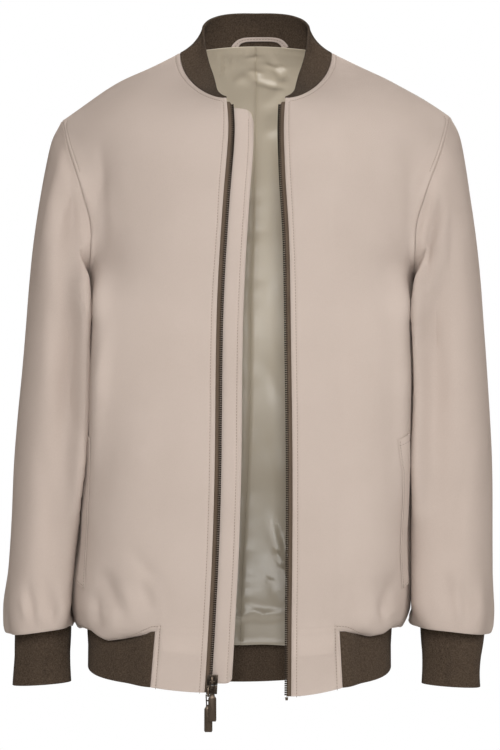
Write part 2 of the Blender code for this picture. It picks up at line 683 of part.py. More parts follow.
def build_cloth():
    """All the sewn cloth grids, with shared seams."""
    stations = torso_stations()
    top = int(np.argmin(np.abs(stations - 2)))
    bottom = int(np.argmin(np.abs(stations - 6)))
    grids = {}
    back = back_grid(stations, BACK_COLUMNS)
    seam_rows = {}
    for side in ("right", "left"):
        front = front_grid(side, stations, TAB_COLUMNS, PANEL_COLUMNS)
        foot = np.zeros_like(front[-1])
        foot[: TAB_COLUMNS + 1] = tab_drop(side, front[-1], TAB_COLUMNS)
        rest = np.linspace(0, 1, PANEL_COLUMNS - TAB_COLUMNS + 1)
        foot[TAB_COLUMNS:, 0] = foot[TAB_COLUMNS, 0] * (1 - rest)
        foot[TAB_COLUMNS:, 1] = foot[TAB_COLUMNS, 1] * (1 - rest)
        foot[TAB_COLUMNS:, 2] = foot[TAB_COLUMNS, 2] * (1 - rest**1.5) - RIB_DROP["side"] * rest**1.5
        low = below_hem(front[-1], foot, HEM_ROWS)
        seam_rows[side] = low
        whole = np.concatenate([front, low[1:]])
        used = np.ones((len(whole) - 1, PANEL_COLUMNS), bool)
        used[len(stations) - 1 :, TAB_COLUMNS:] = False
        grids[f"front_{side}"] = Grid(f"front_{side}", whole, flip=side == "right", used=used)
    grids["back"] = Grid("back", back, flip=True)

    share = np.abs(np.linspace(-1, 1, BACK_COLUMNS + 1))
    drop = np.zeros((BACK_COLUMNS + 1, 3))
    drop[:, 2] = -(RIB_DROP["back"] + (RIB_DROP["side"] - RIB_DROP["back"]) * share**2)
    back_low = below_hem(back[-1], drop, HEM_ROWS)
    rib = np.concatenate(
        [
            seam_rows["right"][:, TAB_COLUMNS:],
            back_low[:, 1:],
            seam_rows["left"][:, TAB_COLUMNS:][:, ::-1][:, 1:],
        ],
        axis=1,
    )
    flare = np.array([0.0, -1.5, -1.5])
    middle = np.array([RINGS[-1].shift, -2.0, 0.0])
    outward = rib - middle
    outward[..., 2] = 0
    clear_of_tabs = np.ones(rib.shape[1])
    clear_of_tabs[[0, -1]] = 0
    rib = rib + unit(outward) * (flare[:, None] * clear_of_tabs[None, :])[..., None]
    grids["hem_rib"] = Grid("hem_rib", rib, flip=True)

    for side in ("right", "left"):
        front = grids[f"front_{side}"].points
        edge = 0 if side == "right" else -1
        forward = front[top : bottom + 1, -1]
        behind = back[top : bottom + 1, edge]
        loop = np.concatenate([forward, behind[::-1][1:-1]])
        sleeve = sleeve_grid(side, SLEEVE_RINGS, loop, torso_side(side))
        grids[f"sleeve_{side}"] = Grid(f"sleeve_{side}", sleeve, flip=side == "left", wrap=True)
        grids[f"cuff_{side}"] = Grid(
            f"cuff_{side}", cuff_grid(side, sleeve[-1]), flip=side == "left", wrap=True
        )
    grids["collar_rib"] = Grid("collar_rib", collar_grid(grids, back))

    share_normals(grids.values())
    rows = len(stations)
    body_fade = np.ones(rows)
    body_fade[0] = body_fade[rows - 1] = 0
    for side in ("right", "left"):
        grid = grids[f"front_{side}"]
        fade = np.zeros(grid.points.shape[:2])
        fade[:rows] = body_fade[:, None]
        fade[top : bottom + 1, -1] = 0
        apply_folds(grid, "torso", fade)
        grid = grids[f"sleeve_{side}"]
        fade = np.ones(grid.points.shape[:2])
        fade[0] = fade[-1] = 0
        apply_folds(grid, "sleeve", fade)
    fade = np.repeat(body_fade[:, None], BACK_COLUMNS + 1, axis=1)
    fade[top : bottom + 1, [0, -1]] = 0
    apply_folds(grids["back"], "torso", fade)
    for grid in grids.values():
        grid.normals = grid.face_normals()
    share_normals(grids.values())
    return grids


def cuff_grid(side, top_ring):
    """Three rings from the sleeve's seam to the cuff's foot."""
    foot = np.array(CUFF_FOOT[side])
    sign = -1 if side == "right" else 1
    turn = np.linspace(0, 2 * math.pi, len(top_ring), endpoint=False)
    rows = [top_ring]
    for t, spread in ((0.5, -1.2), (1.0, 0.8)):
        ring = np.zeros_like(top_ring)
        ring[:, 0] = foot[0] + sign * np.cos(turn) * (CUFF_HALF[0] + spread)
        ring[:, 1] = foot[1] - np.sin(turn) * (CUFF_HALF[1] + spread)
        ring[:, 2] = foot[2] + 4.0 * np.cos(turn) * -0.5
        start = top_ring.copy()
        ring[:, 2] = start[:, 2] * (1 - t) + ring[:, 2] * t
        blend = smooth_step(t, 0, 0.9)
        ring[:, :2] = start[:, :2] * (1 - blend) + ring[:, :2] * blend
        rows.append(ring)
    return np.array(rows)


def collar_grid(grids, back):
    """The collar from the neck seam to its top edge, tapering to the front edges."""
    right, left = grids["front_right"].points[0], grids["front_left"].points[0]
    seam = np.concatenate([right, back[0][1:], left[::-1][1:]])
    length = np.concatenate([[0], np.cumsum(np.linalg.norm(np.diff(seam, axis=0), axis=1))])
    place = np.minimum(length, length[-1] - length) / length[-1] * 2
    columns = [[read(COLLAR, column, s) for s in place] for column in ("rise", "lean", "bow")]
    rise, lean, bow = np.array(columns)
    inward = unit(np.stack([-seam[:, 0], 14 - seam[:, 1], 0 * place], axis=1))
    rows = []
    for t in (0.0, 0.5, 1.0):
        row = seam + inward * (rise * (lean * t - bow * math.sin(math.pi * t)))[:, None]
        row[:, 2] += rise * np.sqrt(1 - lean**2) * t
        rows.append(row)
    return np.array(rows)


def edge_frames(grid):
    """Frames down a front edge: a point, the direction into the panel, and the outward normal."""
    frames = []
    for r in range(len(grid.points)):
        into = unit(grid.points[r, 1] - grid.points[r, 0])
        normal = grid.normals[r, 0]
        into = unit(into - normal * (into @ normal))
        frames.append((grid.points[r, 0], into, normal))
    return frames


def frame_at(frames, z):
    """The frame at height z, between two frames or beyond the last."""
    k = 0
    while k < len(frames) - 2 and frames[k + 1][0][2] > z:
        k += 1
    above, below = frames[k], frames[k + 1]
    t = (above[0][2] - z) / (above[0][2] - below[0][2])
    origin, into, normal = (a * (1 - t) + b * t for a, b in zip(above, below))
    return origin, unit(into), unit(normal)


def frames_between(frames, top, foot):
    """The frames between two heights, with one more at each of them."""
    inside = [frame for frame in frames if foot + 4 < frame[0][2] < top - 4]
    return [frame_at(frames, top), *inside, frame_at(frames, foot)]


def build_zip(grids):
    """Tapes with their chains, and the flap behind the right one."""
    back = -(SHELL_THICK / 2 + SEAM_GAP)
    middle = back - TAPE_THICK / 2
    free = -TAPE_SHOWS
    chain = free + CHAIN_WIDTH
    section = [
        (TAPE_BEHIND, back),
        (chain, back),
        (chain, middle + CHAIN_THICK / 2),
        (free, middle + CHAIN_THICK / 2),
        (free, middle - CHAIN_THICK / 2),
        (chain, middle - CHAIN_THICK / 2),
        (chain, back - TAPE_THICK),
        (TAPE_BEHIND, back - TAPE_THICK),
    ]
    for side in ("right", "left"):
        frames = edge_frames(grids[f"front_{side}"])
        placed = frames_between(frames, TAPE_TOP, frames[-1][0][2])
        vertices, faces = sweep(placed, section)
        make_object(f"zip_tape_{side}", vertices, fix_direction(vertices, faces), "tape")

    depth = back - TAPE_THICK - GUARD_GAP - GUARD_THICK / 2
    rows = []
    placed = frames_between(edge_frames(grids["front_right"]), GUARD_TOP, GUARD_FOOT)
    for origin, into, normal in placed:
        rows.append([origin + into * across + normal * depth for across in GUARD_ACROSS])
    rows = np.array(rows)
    rows[0, :, 2] += GUARD_TOP_CORNER
    rows[-1, :, 2] += GUARD_FOOT_CORNER
    guard = Grid("zip_guard", rows)
    make_object("zip_guard", *wall(guard, GUARD_THICK / 2, GUARD_THICK / 2), "shell")


def build_lining():
    """The two halves of the back lining, inside the back panel, with a hanging lower edge."""
    armhole = np.linspace(2, 6, 7)[1:]
    body = np.linspace(6, 11, 8)[1:]
    stations = np.concatenate([(0.0, 0.3, 0.8, 1.4, 2.0), armhole, body])
    shares = np.linspace(LINING_EDGE, 1, LINING_COLUMNS + 1)
    rows = []
    for s in stations:
        right, left = (along(back_line(side, s), shares) for side in ("right", "left"))
        rows.append(np.concatenate([right, left[::-1][1:]]))
    whole = Grid("lining", rows, flip=True)
    for r, s in enumerate(stations):
        depth = LINING_NECK + (LINING_DEPTH - LINING_NECK) * smooth_step(s, 0.2, 1.4)
        depth += (LINING_HEM - LINING_DEPTH) * smooth_step(s, 8.5, 11.0)
        outward = whole.normals[r].copy()
        outward[:, 2] *= smooth_step(s, 0.0, 0.3) * (1 - smooth_step(s, 9.0, 11.0))
        whole.points[r] -= unit(outward) * depth
    turn = np.linspace(-2 * math.pi, 2 * math.pi, 2 * LINING_COLUMNS + 1)
    hem = whole.points[-1] + np.array([0.0, -2.0, -LINING_HANG])
    hem[:, 2] += 3.5 * np.cos(turn) * (turn != 0) + 2.0 * (turn == 0)
    points = np.concatenate([whole.points, hem[None]])
    halves = {"right": points[:, : LINING_COLUMNS + 1], "left": points[:, LINING_COLUMNS:]}
    grids = [Grid(f"lining_back_{side}", half, flip=True) for side, half in halves.items()]
    share_normals(grids)
    for grid in grids:
        make_object(grid.name, *wall(grid, LINING_THICK / 2, LINING_THICK / 2), "lining")


def between(values, row, column):
    """A grid's value at a fractional row and column, on the straight lines between its points."""
    r, c = min(int(row), len(values) - 2), min(int(column), values.shape[1] - 2)
    u, v = row - r, column - c
    top = values[r, c] * (1 - v) + values[r, c + 1] * v
    low = values[r + 1, c] * (1 - v) + values[r + 1, c + 1] * v
    return top * (1 - u) + low * u


def build_welts(grids):
    """Each welt lies on its front panel, on that panel's own points moved out."""
    stations = torso_stations()
    for side in ("right", "left"):
        panel = grids[f"front_{side}"]
        rows = [float(np.interp(z, stations, range(len(stations)))) for z in (WELT_TOP, WELT_BOTTOM)]
        rows = [rows[0], *range(math.ceil(rows[0]), math.floor(rows[1]) + 1), rows[1]]
        near, far = (TAB_COLUMNS + share * (PANEL_COLUMNS - TAB_COLUMNS) for share in WELT_SHARE[side])
        columns = [near, *range(math.ceil(near), math.floor(far) + 1), far]
        points = np.array([[between(panel.points, r, c) for c in columns] for r in rows])
        normals = np.array([[unit(between(panel.normals, r, c)) for c in columns] for r in rows])
        grid = Grid(f"pocket_welt_{side}", points, flip=panel.flip)
        grid.normals = normals
        rise = SHELL_THICK / 2 + LYING_GAP
        make_object(grid.name, *wall(grid, rise + WELT_THICK, -rise), "shell")


def build_hanger_loop(grids):
    """A flat tape in a low arch, between the lining and the collar."""
    back = np.array([0.0, 1.0, 0.0])
    share = np.linspace(-1, 1, LOOP_STEPS + 1)
    z = LOOP_TOP - LOOP_SAG * np.abs(share) ** 3
    path = np.stack([LOOP_MIDDLE_X + LOOP_HALF * share, 0 * share, z], axis=1)
    frames = []
    for k, point in enumerate(path):
        ahead = path[min(k + 1, LOOP_STEPS)] - path[max(k - 1, 0)]
        frames.append((point, unit(np.cross(ahead, back)), back))
    w, t = LOOP_WIDTH / 2, LOOP_THICK / 2
    vertices, faces = sweep(frames, [(-w, -t), (w, -t), (w, t), (-w, t)])
    seam = grids["back"].points[0]
    for v in vertices:
        seam_y, seam_z = (np.interp(v[0], seam[:, 0], seam[:, axis]) for axis in (1, 2))
        v[1] += seam_y - LOOP_BEHIND + 0.45 * max(0.0, seam_z - v[2]) - 0.08 * max(0.0, v[2] - seam_z)
    make_object("hanger_loop", vertices, fix_direction(vertices, faces), "shell")


def chain_point(frames, z):
    """The middle of the zip's chain at height z, beside a front edge."""
    origin, into, normal = frame_at(frames, z)
    across = CHAIN_WIDTH / 2 - TAPE_SHOWS
    return origin + into * across - normal * (SHELL_THICK / 2 + SEAM_GAP + TAPE_THICK / 2)


def build_sliders(grids):
    """Two sliders round the right tape's chain, each with a bridge, and a pull hinged in it."""
    x_axis, y_axis, z_axis = np.eye(3)
    frames = edge_frames(grids["front_right"])
    left, right, depth, slot = SLIDER_LEFT, SLIDER_RIGHT, SLIDER_DEPTH, SLIDER_SLOT
    web_left, web_right = SLIDER_WEB
    plates = [(left, -depth), (right, -depth), (right, -slot), (web_right, -slot), (web_right, slot)]
    plates += [(right, slot), (right, depth), (left, depth), (left, slot), (web_left, slot)]
    plates += [(web_left, -slot), (left, -slot)]
    for slider in SLIDERS:
        heights = (slider.low, slider.high)
        ends = [chain_point(frames, z) for z in heights]
        placed = [(np.array([*end[:2], z]), x_axis, y_axis) for end, z in zip(ends, heights)]
        vertices, faces = sweep(placed, plates)
        faces = fix_direction(vertices, faces)
        body = make_object(f"slider_{slider.name}", vertices, faces, "hardware", False)
        face = ends[0][1] - depth
        root = face + 0.4
        inner = face - slider.rise - PIN_HALF - SEAM_GAP
        outer = inner - BRIDGE_THICK
        foot = slider.hinge_z - PIN_HALF - SEAM_GAP
        low, top = foot - BRIDGE_THICK, slider.bridge_top + BRIDGE_THICK
        section = [(root, top), (outer, top), (outer, low), (root, low), (root, foot), (inner, foot)]
        section += [(inner, slider.bridge_top), (root, slider.bridge_top)]
        start = np.array([slider.pull_x - BRIDGE_HALF, 0.0, 0.0])
        end = np.array([slider.pull_x + BRIDGE_HALF, 0.0, 0.0])
        vertices, faces = sweep([(start, y_axis, z_axis), (end, y_axis, z_axis)], section)
        faces = fix_direction(vertices, faces)
        bridge = make_object(f"bridge_{slider.name}", vertices, faces, "hardware", False)
        bridge.hide_render = True
        join = body.modifiers.new("bridge", "BOOLEAN")
        join.operation = "UNION"
        join.object = bridge
        build_pull(slider, face - slider.rise)


def build_pull(slider, y):
    """A pin in the bridge, a link with two windows, and a rounded tab. Its origin is on its hinge."""
    rows = []
    for row in PULL_ROWS:
        share = min(max((-row.drop - PIN_HALF) / 14.0, 0.0), 1.0)
        z = row.drop + slider.pull_short * share
        rows.append([(across, 0.0, z) for across in (-row.half, -row.window, row.window, row.half)])
    used = np.ones((len(rows) - 1, 3), bool)
    used[PULL_WINDOWS, 1] = False
    grid = Grid(f"pull_{slider.name}", rows, used=used)
    grid.normals[:] = (0, -1, 0)
    half = np.array([[row.thick / 2] * 4 for row in PULL_ROWS])
    obj = make_object(grid.name, *wall(grid, half, half, inset=0.0), "hardware", False)
    obj.location = (slider.pull_x * MM, y * MM, slider.hinge_z * MM)


def build_insert_pin(grids):
    """The pin below the left tape's chain."""
    half, depth, drop = INSERT_PIN
    frames = edge_frames(grids["front_left"])
    top = chain_point(frames, frames[-1][0][2])[2] - 2 * SEAM_GAP
    placed = []
    for z, share in ((top, 1.0), (top - drop, 0.7)):
        x, y, z = chain_point(frames, z) * (1, 1, 0) + (0, 0, z)
        placed.append((np.array([x, y, z]), np.array([share, 0, 0]), np.array([0, share, 0])))
    section = [(-half, -depth), (half, -depth), (half, depth), (-half, depth)]
    vertices, faces = sweep(placed, section)
    make_object("zip_pin", vertices, fix_direction(vertices, faces), "hardware", False)


def main():
    for obj in list(bpy.data.objects):
        bpy.data.objects.remove(obj)
    grids = build_cloth()
    for name, grid in grids.items():
        if "rib" in name or "cuff" in name:
            vertices, faces = ribbed_wall(grid)
            make_object(name, vertices, faces, "rib")
        else:
            vertices, faces = wall(grid, SHELL_THICK / 2, SHELL_THICK / 2)
            make_object(name, vertices, faces, "shell")
    build_zip(grids)
    build_insert_pin(grids)
    build_sliders(grids)
    build_welts(grids)
    build_lining()
    build_hanger_loop(grids)


main()
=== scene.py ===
import math

import bpy
import numpy as np
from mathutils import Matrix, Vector


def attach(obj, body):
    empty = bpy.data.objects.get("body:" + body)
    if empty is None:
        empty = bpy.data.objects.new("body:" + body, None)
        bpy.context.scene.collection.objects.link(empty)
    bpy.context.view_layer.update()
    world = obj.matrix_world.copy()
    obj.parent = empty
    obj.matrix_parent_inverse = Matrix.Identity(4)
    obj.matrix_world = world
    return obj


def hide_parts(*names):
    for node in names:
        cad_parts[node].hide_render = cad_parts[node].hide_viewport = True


# A man's bomber jacket, filled out as if worn. +X is the wearer's left, +Y the wearer's back.
# The tables and the surface functions work in millimetres, and the meshes are in metres.

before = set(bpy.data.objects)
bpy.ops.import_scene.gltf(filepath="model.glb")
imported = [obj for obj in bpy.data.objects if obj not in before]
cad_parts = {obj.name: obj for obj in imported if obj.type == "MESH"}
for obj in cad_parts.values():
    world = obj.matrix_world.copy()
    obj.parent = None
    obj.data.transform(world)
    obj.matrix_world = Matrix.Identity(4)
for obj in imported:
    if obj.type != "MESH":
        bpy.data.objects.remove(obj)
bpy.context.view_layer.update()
mm = 0.001
print("frame loaded:", len(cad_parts), "solids")


def table(columns, *rows):
    named = dict(zip(columns.split(), np.array(rows, float).T))
    for column, v in list(named.items()):
        if column != "station":
            named[column + " slope"] = slopes(named["station"], v)
    return named


def slopes(s, v):
    step = np.diff(s)
    rate = np.diff(v) / step
    slope = np.zeros(len(v))
    slope[0], slope[-1] = rate[0], rate[-1]
    for i in range(1, len(v) - 1):
        if rate[i - 1] * rate[i] > 0:
            a, b = 2 * step[i] + step[i - 1], step[i] + 2 * step[i - 1]
            slope[i] = (a + b) / (a / rate[i - 1] + b / rate[i])
    return slope


def read(rows, column, at):  # a smooth reading between the rows, without overshoot
    s, v, slope = rows["station"], rows[column], rows[column + " slope"]
    i = np.clip(np.searchsorted(s, at, "right") - 1, 0, len(s) - 2)
    h = s[i + 1] - s[i]
    t = np.clip((at - s[i]) / h, 0.0, 1.0)
    first = v[i] * (1 + 2 * t) * (1 - t) ** 2 + slope[i] * h * t * (1 - t) ** 2
    return first + v[i + 1] * t * t * (3 - 2 * t) - slope[i + 1] * h * t * t * (1 - t)


def smoothStep(x, low, high):
    t = np.clip((x - low) / (high - low), 0.0, 1.0)
    return t * t * (3 - 2 * t)


def bell(x, width):
    return np.exp(-((x / width) ** 2))


def unit(v):
    return v / np.maximum(np.linalg.norm(v, axis=-1, keepdims=True), 1e-9)


def bezier(a, b, c, d, count):
    t = np.linspace(0, 1, count)[:, None]
    u = 1 - t
    return u**3 * a + 3 * u * u * t * b + 3 * u * t * t * c + t**3 * d


def lineLength(line):
    return np.concatenate([[0], np.cumsum(np.linalg.norm(np.diff(line, axis=0), axis=1))])


def rowDistance(points):  # down a grid of points, from its first row
    step = np.linalg.norm(np.diff(points, axis=0), axis=2)
    return np.concatenate([np.zeros((1, points.shape[1])), np.cumsum(step, axis=0)])


def columnDistance(points):  # across a grid of points, from its first column
    step = np.linalg.norm(np.diff(points, axis=1), axis=2)
    return np.concatenate([np.zeros((points.shape[0], 1)), np.cumsum(step, axis=1)], axis=1)


def along(line, distances):
    length = lineLength(line)
    return np.stack([np.interp(distances, length, v) for v in line.T], axis=1)


sideSign = {"right": -1, "left": 1}
sides = tuple(sideSign)


# The body's rings. Station 0 is the neck seam, 2 the shoulder tips, 6 the armpits, 13 the hem seam.
bodyForm = {
    "rings": table(
        "station edgeRight edgeLeft frontY frontZ frontSquare dip shift backY backZ backSquare crown",
        (0.0, -31.0, 30.5, -97, -54, 0.16, 1.1, 0, 72, 14, 0.38, 0.0),
        (1.0, -28.5, 28.5, -108, -84, 0.29, 0.3, 0, 90, -14, 0.38, 0.55),
        (2.0, -30.5, 29.5, -119, -116, 0.35, 0.0, 0, 103, -48, 0.35, 0.45),
        (3.0, -33.0, 30.5, -125, -144, 0.36, 0.0, -0.5, 110, -88, 0.35, 0.15),
        (4.0, -35.0, 32.5, -129, -172, 0.37, 0.0, -2, 114, -136, 0.35, 0.0),
        (5.0, -37.5, 34.5, -132, -210, 0.41, 0.0, -3, 115, -192, 0.40, 0.0),
        (5.5, -39.0, 35.0, -134, -236, 0.47, 0.0, -4.5, 114, -226, 0.48, 0.0),
        (6.0, -40.5, 35.3, -136, -264, 0.53, 0.0, -6, 113, -260, 0.56, 0.0),
        (7.0, -42.0, 36.3, -138, -340, 0.54, 0.0, -6, 110, -335, 0.58, 0.0),
        (8.0, -42.5, 37.6, -137, -430, 0.54, 0.0, -8, 108, -425, 0.58, 0.0),
        (9.0, -44.7, 37.4, -134, -510, 0.54, 0.0, -12, 109, -510, 0.58, 0.0),
        (10.0, -46.8, 37.0, -131, -558, 0.53, 0.0, -15, 113, -565, 0.57, 0.0),
        (11.0, -48.5, 36.7, -129, -588, 0.53, 0.0, -16.5, 117, -600, 0.55, 0.0),
        (12.0, -49.3, 36.5, -128, -604, 0.52, 0.0, -17, 117, -626, 0.53, 0.0),
        (13.0, -49.6, 36.5, -127, -611, 0.51, 0.0, -17.6, 116, -622, 0.51, 0.0),
    ),
    "shoulder": table(
        "station half y z frontTurn backTurn",
        (0.0, 81, 0, 0, 90, 90),
        (0.5, 113, 1, -15.5, 90, 90),
        (1.0, 145, 2, -30, 88, 92),
        (2.0, 207, 4, -72, 62, 118),
    ),
    "armhole": table(
        "station frontHalf frontY frontZ frontTurn backHalf backY backZ backTurn",
        (2.0, 207, 4, -72, 62, 207, 4, -72, 118),
        (3.0, 198, -50, -103, 44, 196, 52, -93, 133),
        (4.0, 181, -83, -150, 30, 181, 79, -140, 149),
        (5.0, 170, -86, -198, 38, 171, 74, -192, 141),
        (5.5, 171, -60, -231, 64, 171.5, 48, -230, 115),
        (6.0, 174, -2, -252, 90, 174, -2, -252, 90),
    ),
    "sideSeam": table(
        "station half y z",
        (6.0, 174, -2, -252),
        (7.0, 174, -2, -330),
        (8.0, 173.5, -2, -420),
        (9.0, 177, -2, -508),
        (10.0, 180.5, -2, -555),
        (11.0, 181.5, -2, -590),
        (12.0, 176, -2, -610),
        (13.0, 176.5, -2, -604),
    ),
    "tuck": table("station depth", (11, 0), (12, 4.5), (13, 15)),
    "shoulderLift": {"right": 0.0, "left": 4.5},
    "edgeLean": -0.02,  # how far the front's cloth leans from straight across at its edge
    "dips": (0.33, 0.2),  # the ring's own dip, as shares at each third of the front
    "tabWidth": {"right": 55.5, "left": 50.5},
    "tabShare": 0.3,  # the most of a front's width that its tab takes
    "tuckFade": 0.2,
    "tabFoot": {"right": (-53.4, -673.0), "left": (36.2, -677.0)},
    "tabCorner": {"right": (-110.0, -667.8), "left": (89.8, -668.3)},
    "tabForward": 3.0,
    "tabBend": 1.7,
    "ribDropSide": 47.0,
    "ribDropBack": 58.0,
    "ribBend": 1.5,
    "middleY": -2.0,
    "clothThick": 1.8,
    "curveSamples": 160,
}


def seamPoint(side, s, face):  # on the outer seam, with the cloth's heading there
    name = "shoulder" if s <= 2 else "armhole" if s < 6 else "sideSeam"
    rows = bodyForm[name]
    columns = [face + c for c in ("Half", "Y", "Z")] if name == "armhole" else ["half", "y", "z"]
    half, y, z = (read(rows, column, s) for column in columns)
    lift = smoothStep(s, 1, 2) if s <= 2 else 1 - smoothStep(s, 2, 4)
    turn = math.radians(90 if name == "sideSeam" else read(rows, face + "Turn", s))
    x = read(bodyForm["rings"], "shift", s) + sideSign[side] * half
    heading = np.array([sideSign[side] * math.cos(turn), math.sin(turn), 0])
    return np.array([x, y, z + bodyForm["shoulderLift"][side] * lift]), heading


def frontLine(side, s):  # from the front edge to the outer seam
    rings = bodyForm["rings"]
    columns = ("edge" + side.capitalize(), "frontY", "frontZ")
    start = np.array([read(rings, column, s) for column in columns])
    end, heading = seamPoint(side, s, "front")
    reach = read(rings, "frontSquare", s) * np.linalg.norm(end - start)
    b = start + reach * np.array([sideSign[side], bodyForm["edgeLean"], 0])
    c = end - reach * heading
    dip = read(rings, "dip", s) * np.array(bodyForm["dips"])
    level = start[2] + (end[2] - start[2]) * (np.array([1, 2]) / 3 - dip)
    b[2] = level[0]
    c[2] = level[1] + (end[2] - level[1]) * read(rings, "crown", s)
    return bezier(start, b, c, end, bodyForm["curveSamples"])


def backLine(side, s):  # from the outer seam to centre back
    rings = bodyForm["rings"]
    start, heading = seamPoint(side, s, "back")
    end = np.array([read(rings, column, s) for column in ("shift", "backY", "backZ")])
    reach = read(rings, "backSquare", s) * np.linalg.norm(end - start)
    b = start + reach * heading
    c = end + reach * np.array([sideSign[side], 0, 0])
    b[2] = start[2] + (end[2] - start[2]) / 3 * (1 - read(rings, "crown", s))
    c[2] = end[2]
    return bezier(start, b, c, end, bodyForm["curveSamples"])


def tabLength(side, total):
    return min(bodyForm["tabWidth"][side], bodyForm["tabShare"] * total)


def tuckIn(points, s, weight):  # the rib draws the lowest cloth in
    depth = read(bodyForm["tuck"], "depth", s)
    inward = np.array([read(bodyForm["rings"], "shift", s), bodyForm["middleY"], 0]) - points
    inward[:, 2] = 0
    return points + unit(inward) * depth * np.reshape(weight, (-1, 1))


# Distances from an edge at which a row of points is placed, so that a sewn edge can be shaped.
edgeSteps = np.array([0.0, 2.6, 4.5, 5.4, 6.3, 9.0])
edgeRelief = np.array([-0.05, 0.3, 0.1, -0.45, 0.0, 0.0])
edgeCount = len(edgeSteps)
stitchStep = 3  # the stitching lies at this one of the steps
narrowPanel = 110.0  # on a panel narrower than this, the steps close up
panelRows = {"shoulder": 34, "armhole": 56, "body": 92, "tab": 12}
panelColumns = {"tabMiddle": 8, "front": 50, "halfBack": 58}
tabColumn = 2 * edgeCount + panelColumns["tabMiddle"] - 2


def stationRows():
    shoulder = np.linspace(0, 2, panelRows["shoulder"] + 1)[:-1]
    armhole = np.linspace(2, 6, panelRows["armhole"] + 1)
    body = np.linspace(6, 13, panelRows["body"] + 1)[1:]
    return np.concatenate([shoulder, armhole, body])


def frontColumns(side, total):  # distances from the front edge
    tab = tabLength(side, total)
    near = edgeSteps * min(1, tab / bodyForm["tabWidth"][side])
    middle = np.linspace(near[-1], tab - near[-1], panelColumns["tabMiddle"] + 1)[1:-1]
    far = edgeSteps * min(1, (total - tab) / narrowPanel)
    rest = np.linspace(tab + 1.2, total - far[-1], panelColumns["front"] + 1)[:-1]
    return np.concatenate([near, middle, tab - near[::-1], rest, total - far[::-1]])


def frontSurface(side, stations):
    rows = []
    for s in stations:
        line = frontLine(side, s)
        total = lineLength(line)[-1]
        at = frontColumns(side, total)
        tab = tabLength(side, total) / total
        weight = smoothStep(at / total, tab, tab + bodyForm["tuckFade"])
        rows.append(tuckIn(along(line, at), s, weight))
    return np.array(rows)


def wholeBack(s, spacing):  # a row across the back, from one outer seam to the other
    halves = []
    for side in sides:
        line = backLine(side, s)
        halves.append(along(line, spacing(lineLength(line)[-1])))
    return np.concatenate([halves[0], halves[1][::-1][1:]])


def backColumns(total):
    near = edgeSteps * min(1, total / narrowPanel)
    return np.concatenate([near, np.linspace(near[-1], total, panelColumns["halfBack"] + 1)[1:]])


def backSurface(stations):
    return np.array([tuckIn(wholeBack(s, backColumns), s, 1.0) for s in stations])


def evenOut(surface, bothEnds=False, passes=70, margin=26.0):
    # takes the creases between the tables' rows out of a panel, but leaves its sewn edges
    across = columnDistance(surface)
    share = smoothStep(across[:, -1:] - across, 0, margin)
    if bothEnds:
        share = share * smoothStep(across, 0, margin)
    share = share[1:-1, :, None] * 0.5
    made = surface.copy()
    for step in range(passes):
        made[1:-1] += share * ((made[:-2] + made[2:]) / 2 - made[1:-1])
    return made


def stitchRows(surface, rows=7, least=16.0):
    # moves the first rows of points to even distances from the neck seam
    moved = surface.copy()
    for c in range(surface.shape[1]):
        column = surface[: rows + 1, c]
        reach = lineLength(column)[-1]
        at = np.concatenate([edgeSteps * min(1, reach / least), [reach * 0.7, reach]])
        moved[: rows + 1, c] = along(column, at)
    return moved


# The sleeves' rings, from the armhole (0) to the cuff seam (14).
sleeveForm = {
    "rings": table(
        "station outRight outLeft outZ inRight inLeft inZ frontY backY square",
        (0, 207, 207, -72, 180, 168, -252, -98, 90, 1.00),
        (1, 217.5, 217, -92, 189, 177, -254, -100, 91, 1.00),
        (2, 225, 224, -125, 188, 176, -259, -100, 90, 1.02),
        (3, 231, 229, -160, 185, 173, -267, -98, 88, 1.05),
        (4, 236.5, 234, -202, 180, 168, -278, -95, 85, 1.08),
        (5, 241, 238.5, -246, 176, 164, -293, -92, 82, 1.10),
        (6, 244.5, 242, -292, 176, 164, -314, -89, 79, 1.12),
        (7, 248.5, 245.5, -338, 176, 164, -344, -87, 76, 1.12),
        (8, 253.5, 248.5, -388, 176, 163, -387, -84, 71, 1.12),
        (9, 257.5, 250.5, -440, 178, 161, -438, -82, 65, 1.12),
        (10, 260, 251.5, -495, 183, 161, -492, -80, 57, 1.12),
        (11, 263.5, 252, -545, 190, 162, -541, -80, 49, 1.10),
        (12, 268, 252, -588, 194, 164, -580, -79, 43, 1.08),
        (13, 265, 248, -618, 192, 167, -608, -77, 37, 1.06),
        (14, 256, 243, -610, 197, 177, -604, -58, 6, 1.02),
    ),
    "rows": 136,
    "evenRows": (0.2, 13.6),  # the stations between which those rows stand evenly
    "firstRows": (0.0, 0.04, 0.1),
    "lastRows": (13.8, 14.0),
    "clearOfBody": 2.7,  # the least gap between a sleeve and the body
    "clearFrom": 0.6,
    "clearFade": 24.0,
    "easeFrom": 6.0,  # a gap smaller than this closes up smoothly
    "inside": 0.45,  # how much squarer a ring is on its inner side
    "hug": 0.85,  # the share of the gap that the inner side takes up
    "hugWithin": 24.0,
    "hugEnds": (12, 13),
    "armholeFade": 5.0,  # the station where the armhole's own line has faded out
    "armholeBend": 1.5,
    "gathers": 6,
    "gatherDrift": 0.6,
    "gatherDepth": 2.6,
    "gatherAt": 12.6,
    "gatherReach": 1.4,
}
cuffForm = {
    "foot": {"right": (-227.5, -29.0, -671.0), "left": (207.0, -29.0, -673.0)},
    "half": (29.0, 27.0),
    "footTilt": 2.0,
    "spread": (0, -1.2, 0.8),  # how much wider it is at its seam, middle and foot
    "blendEnd": 0.9,
}


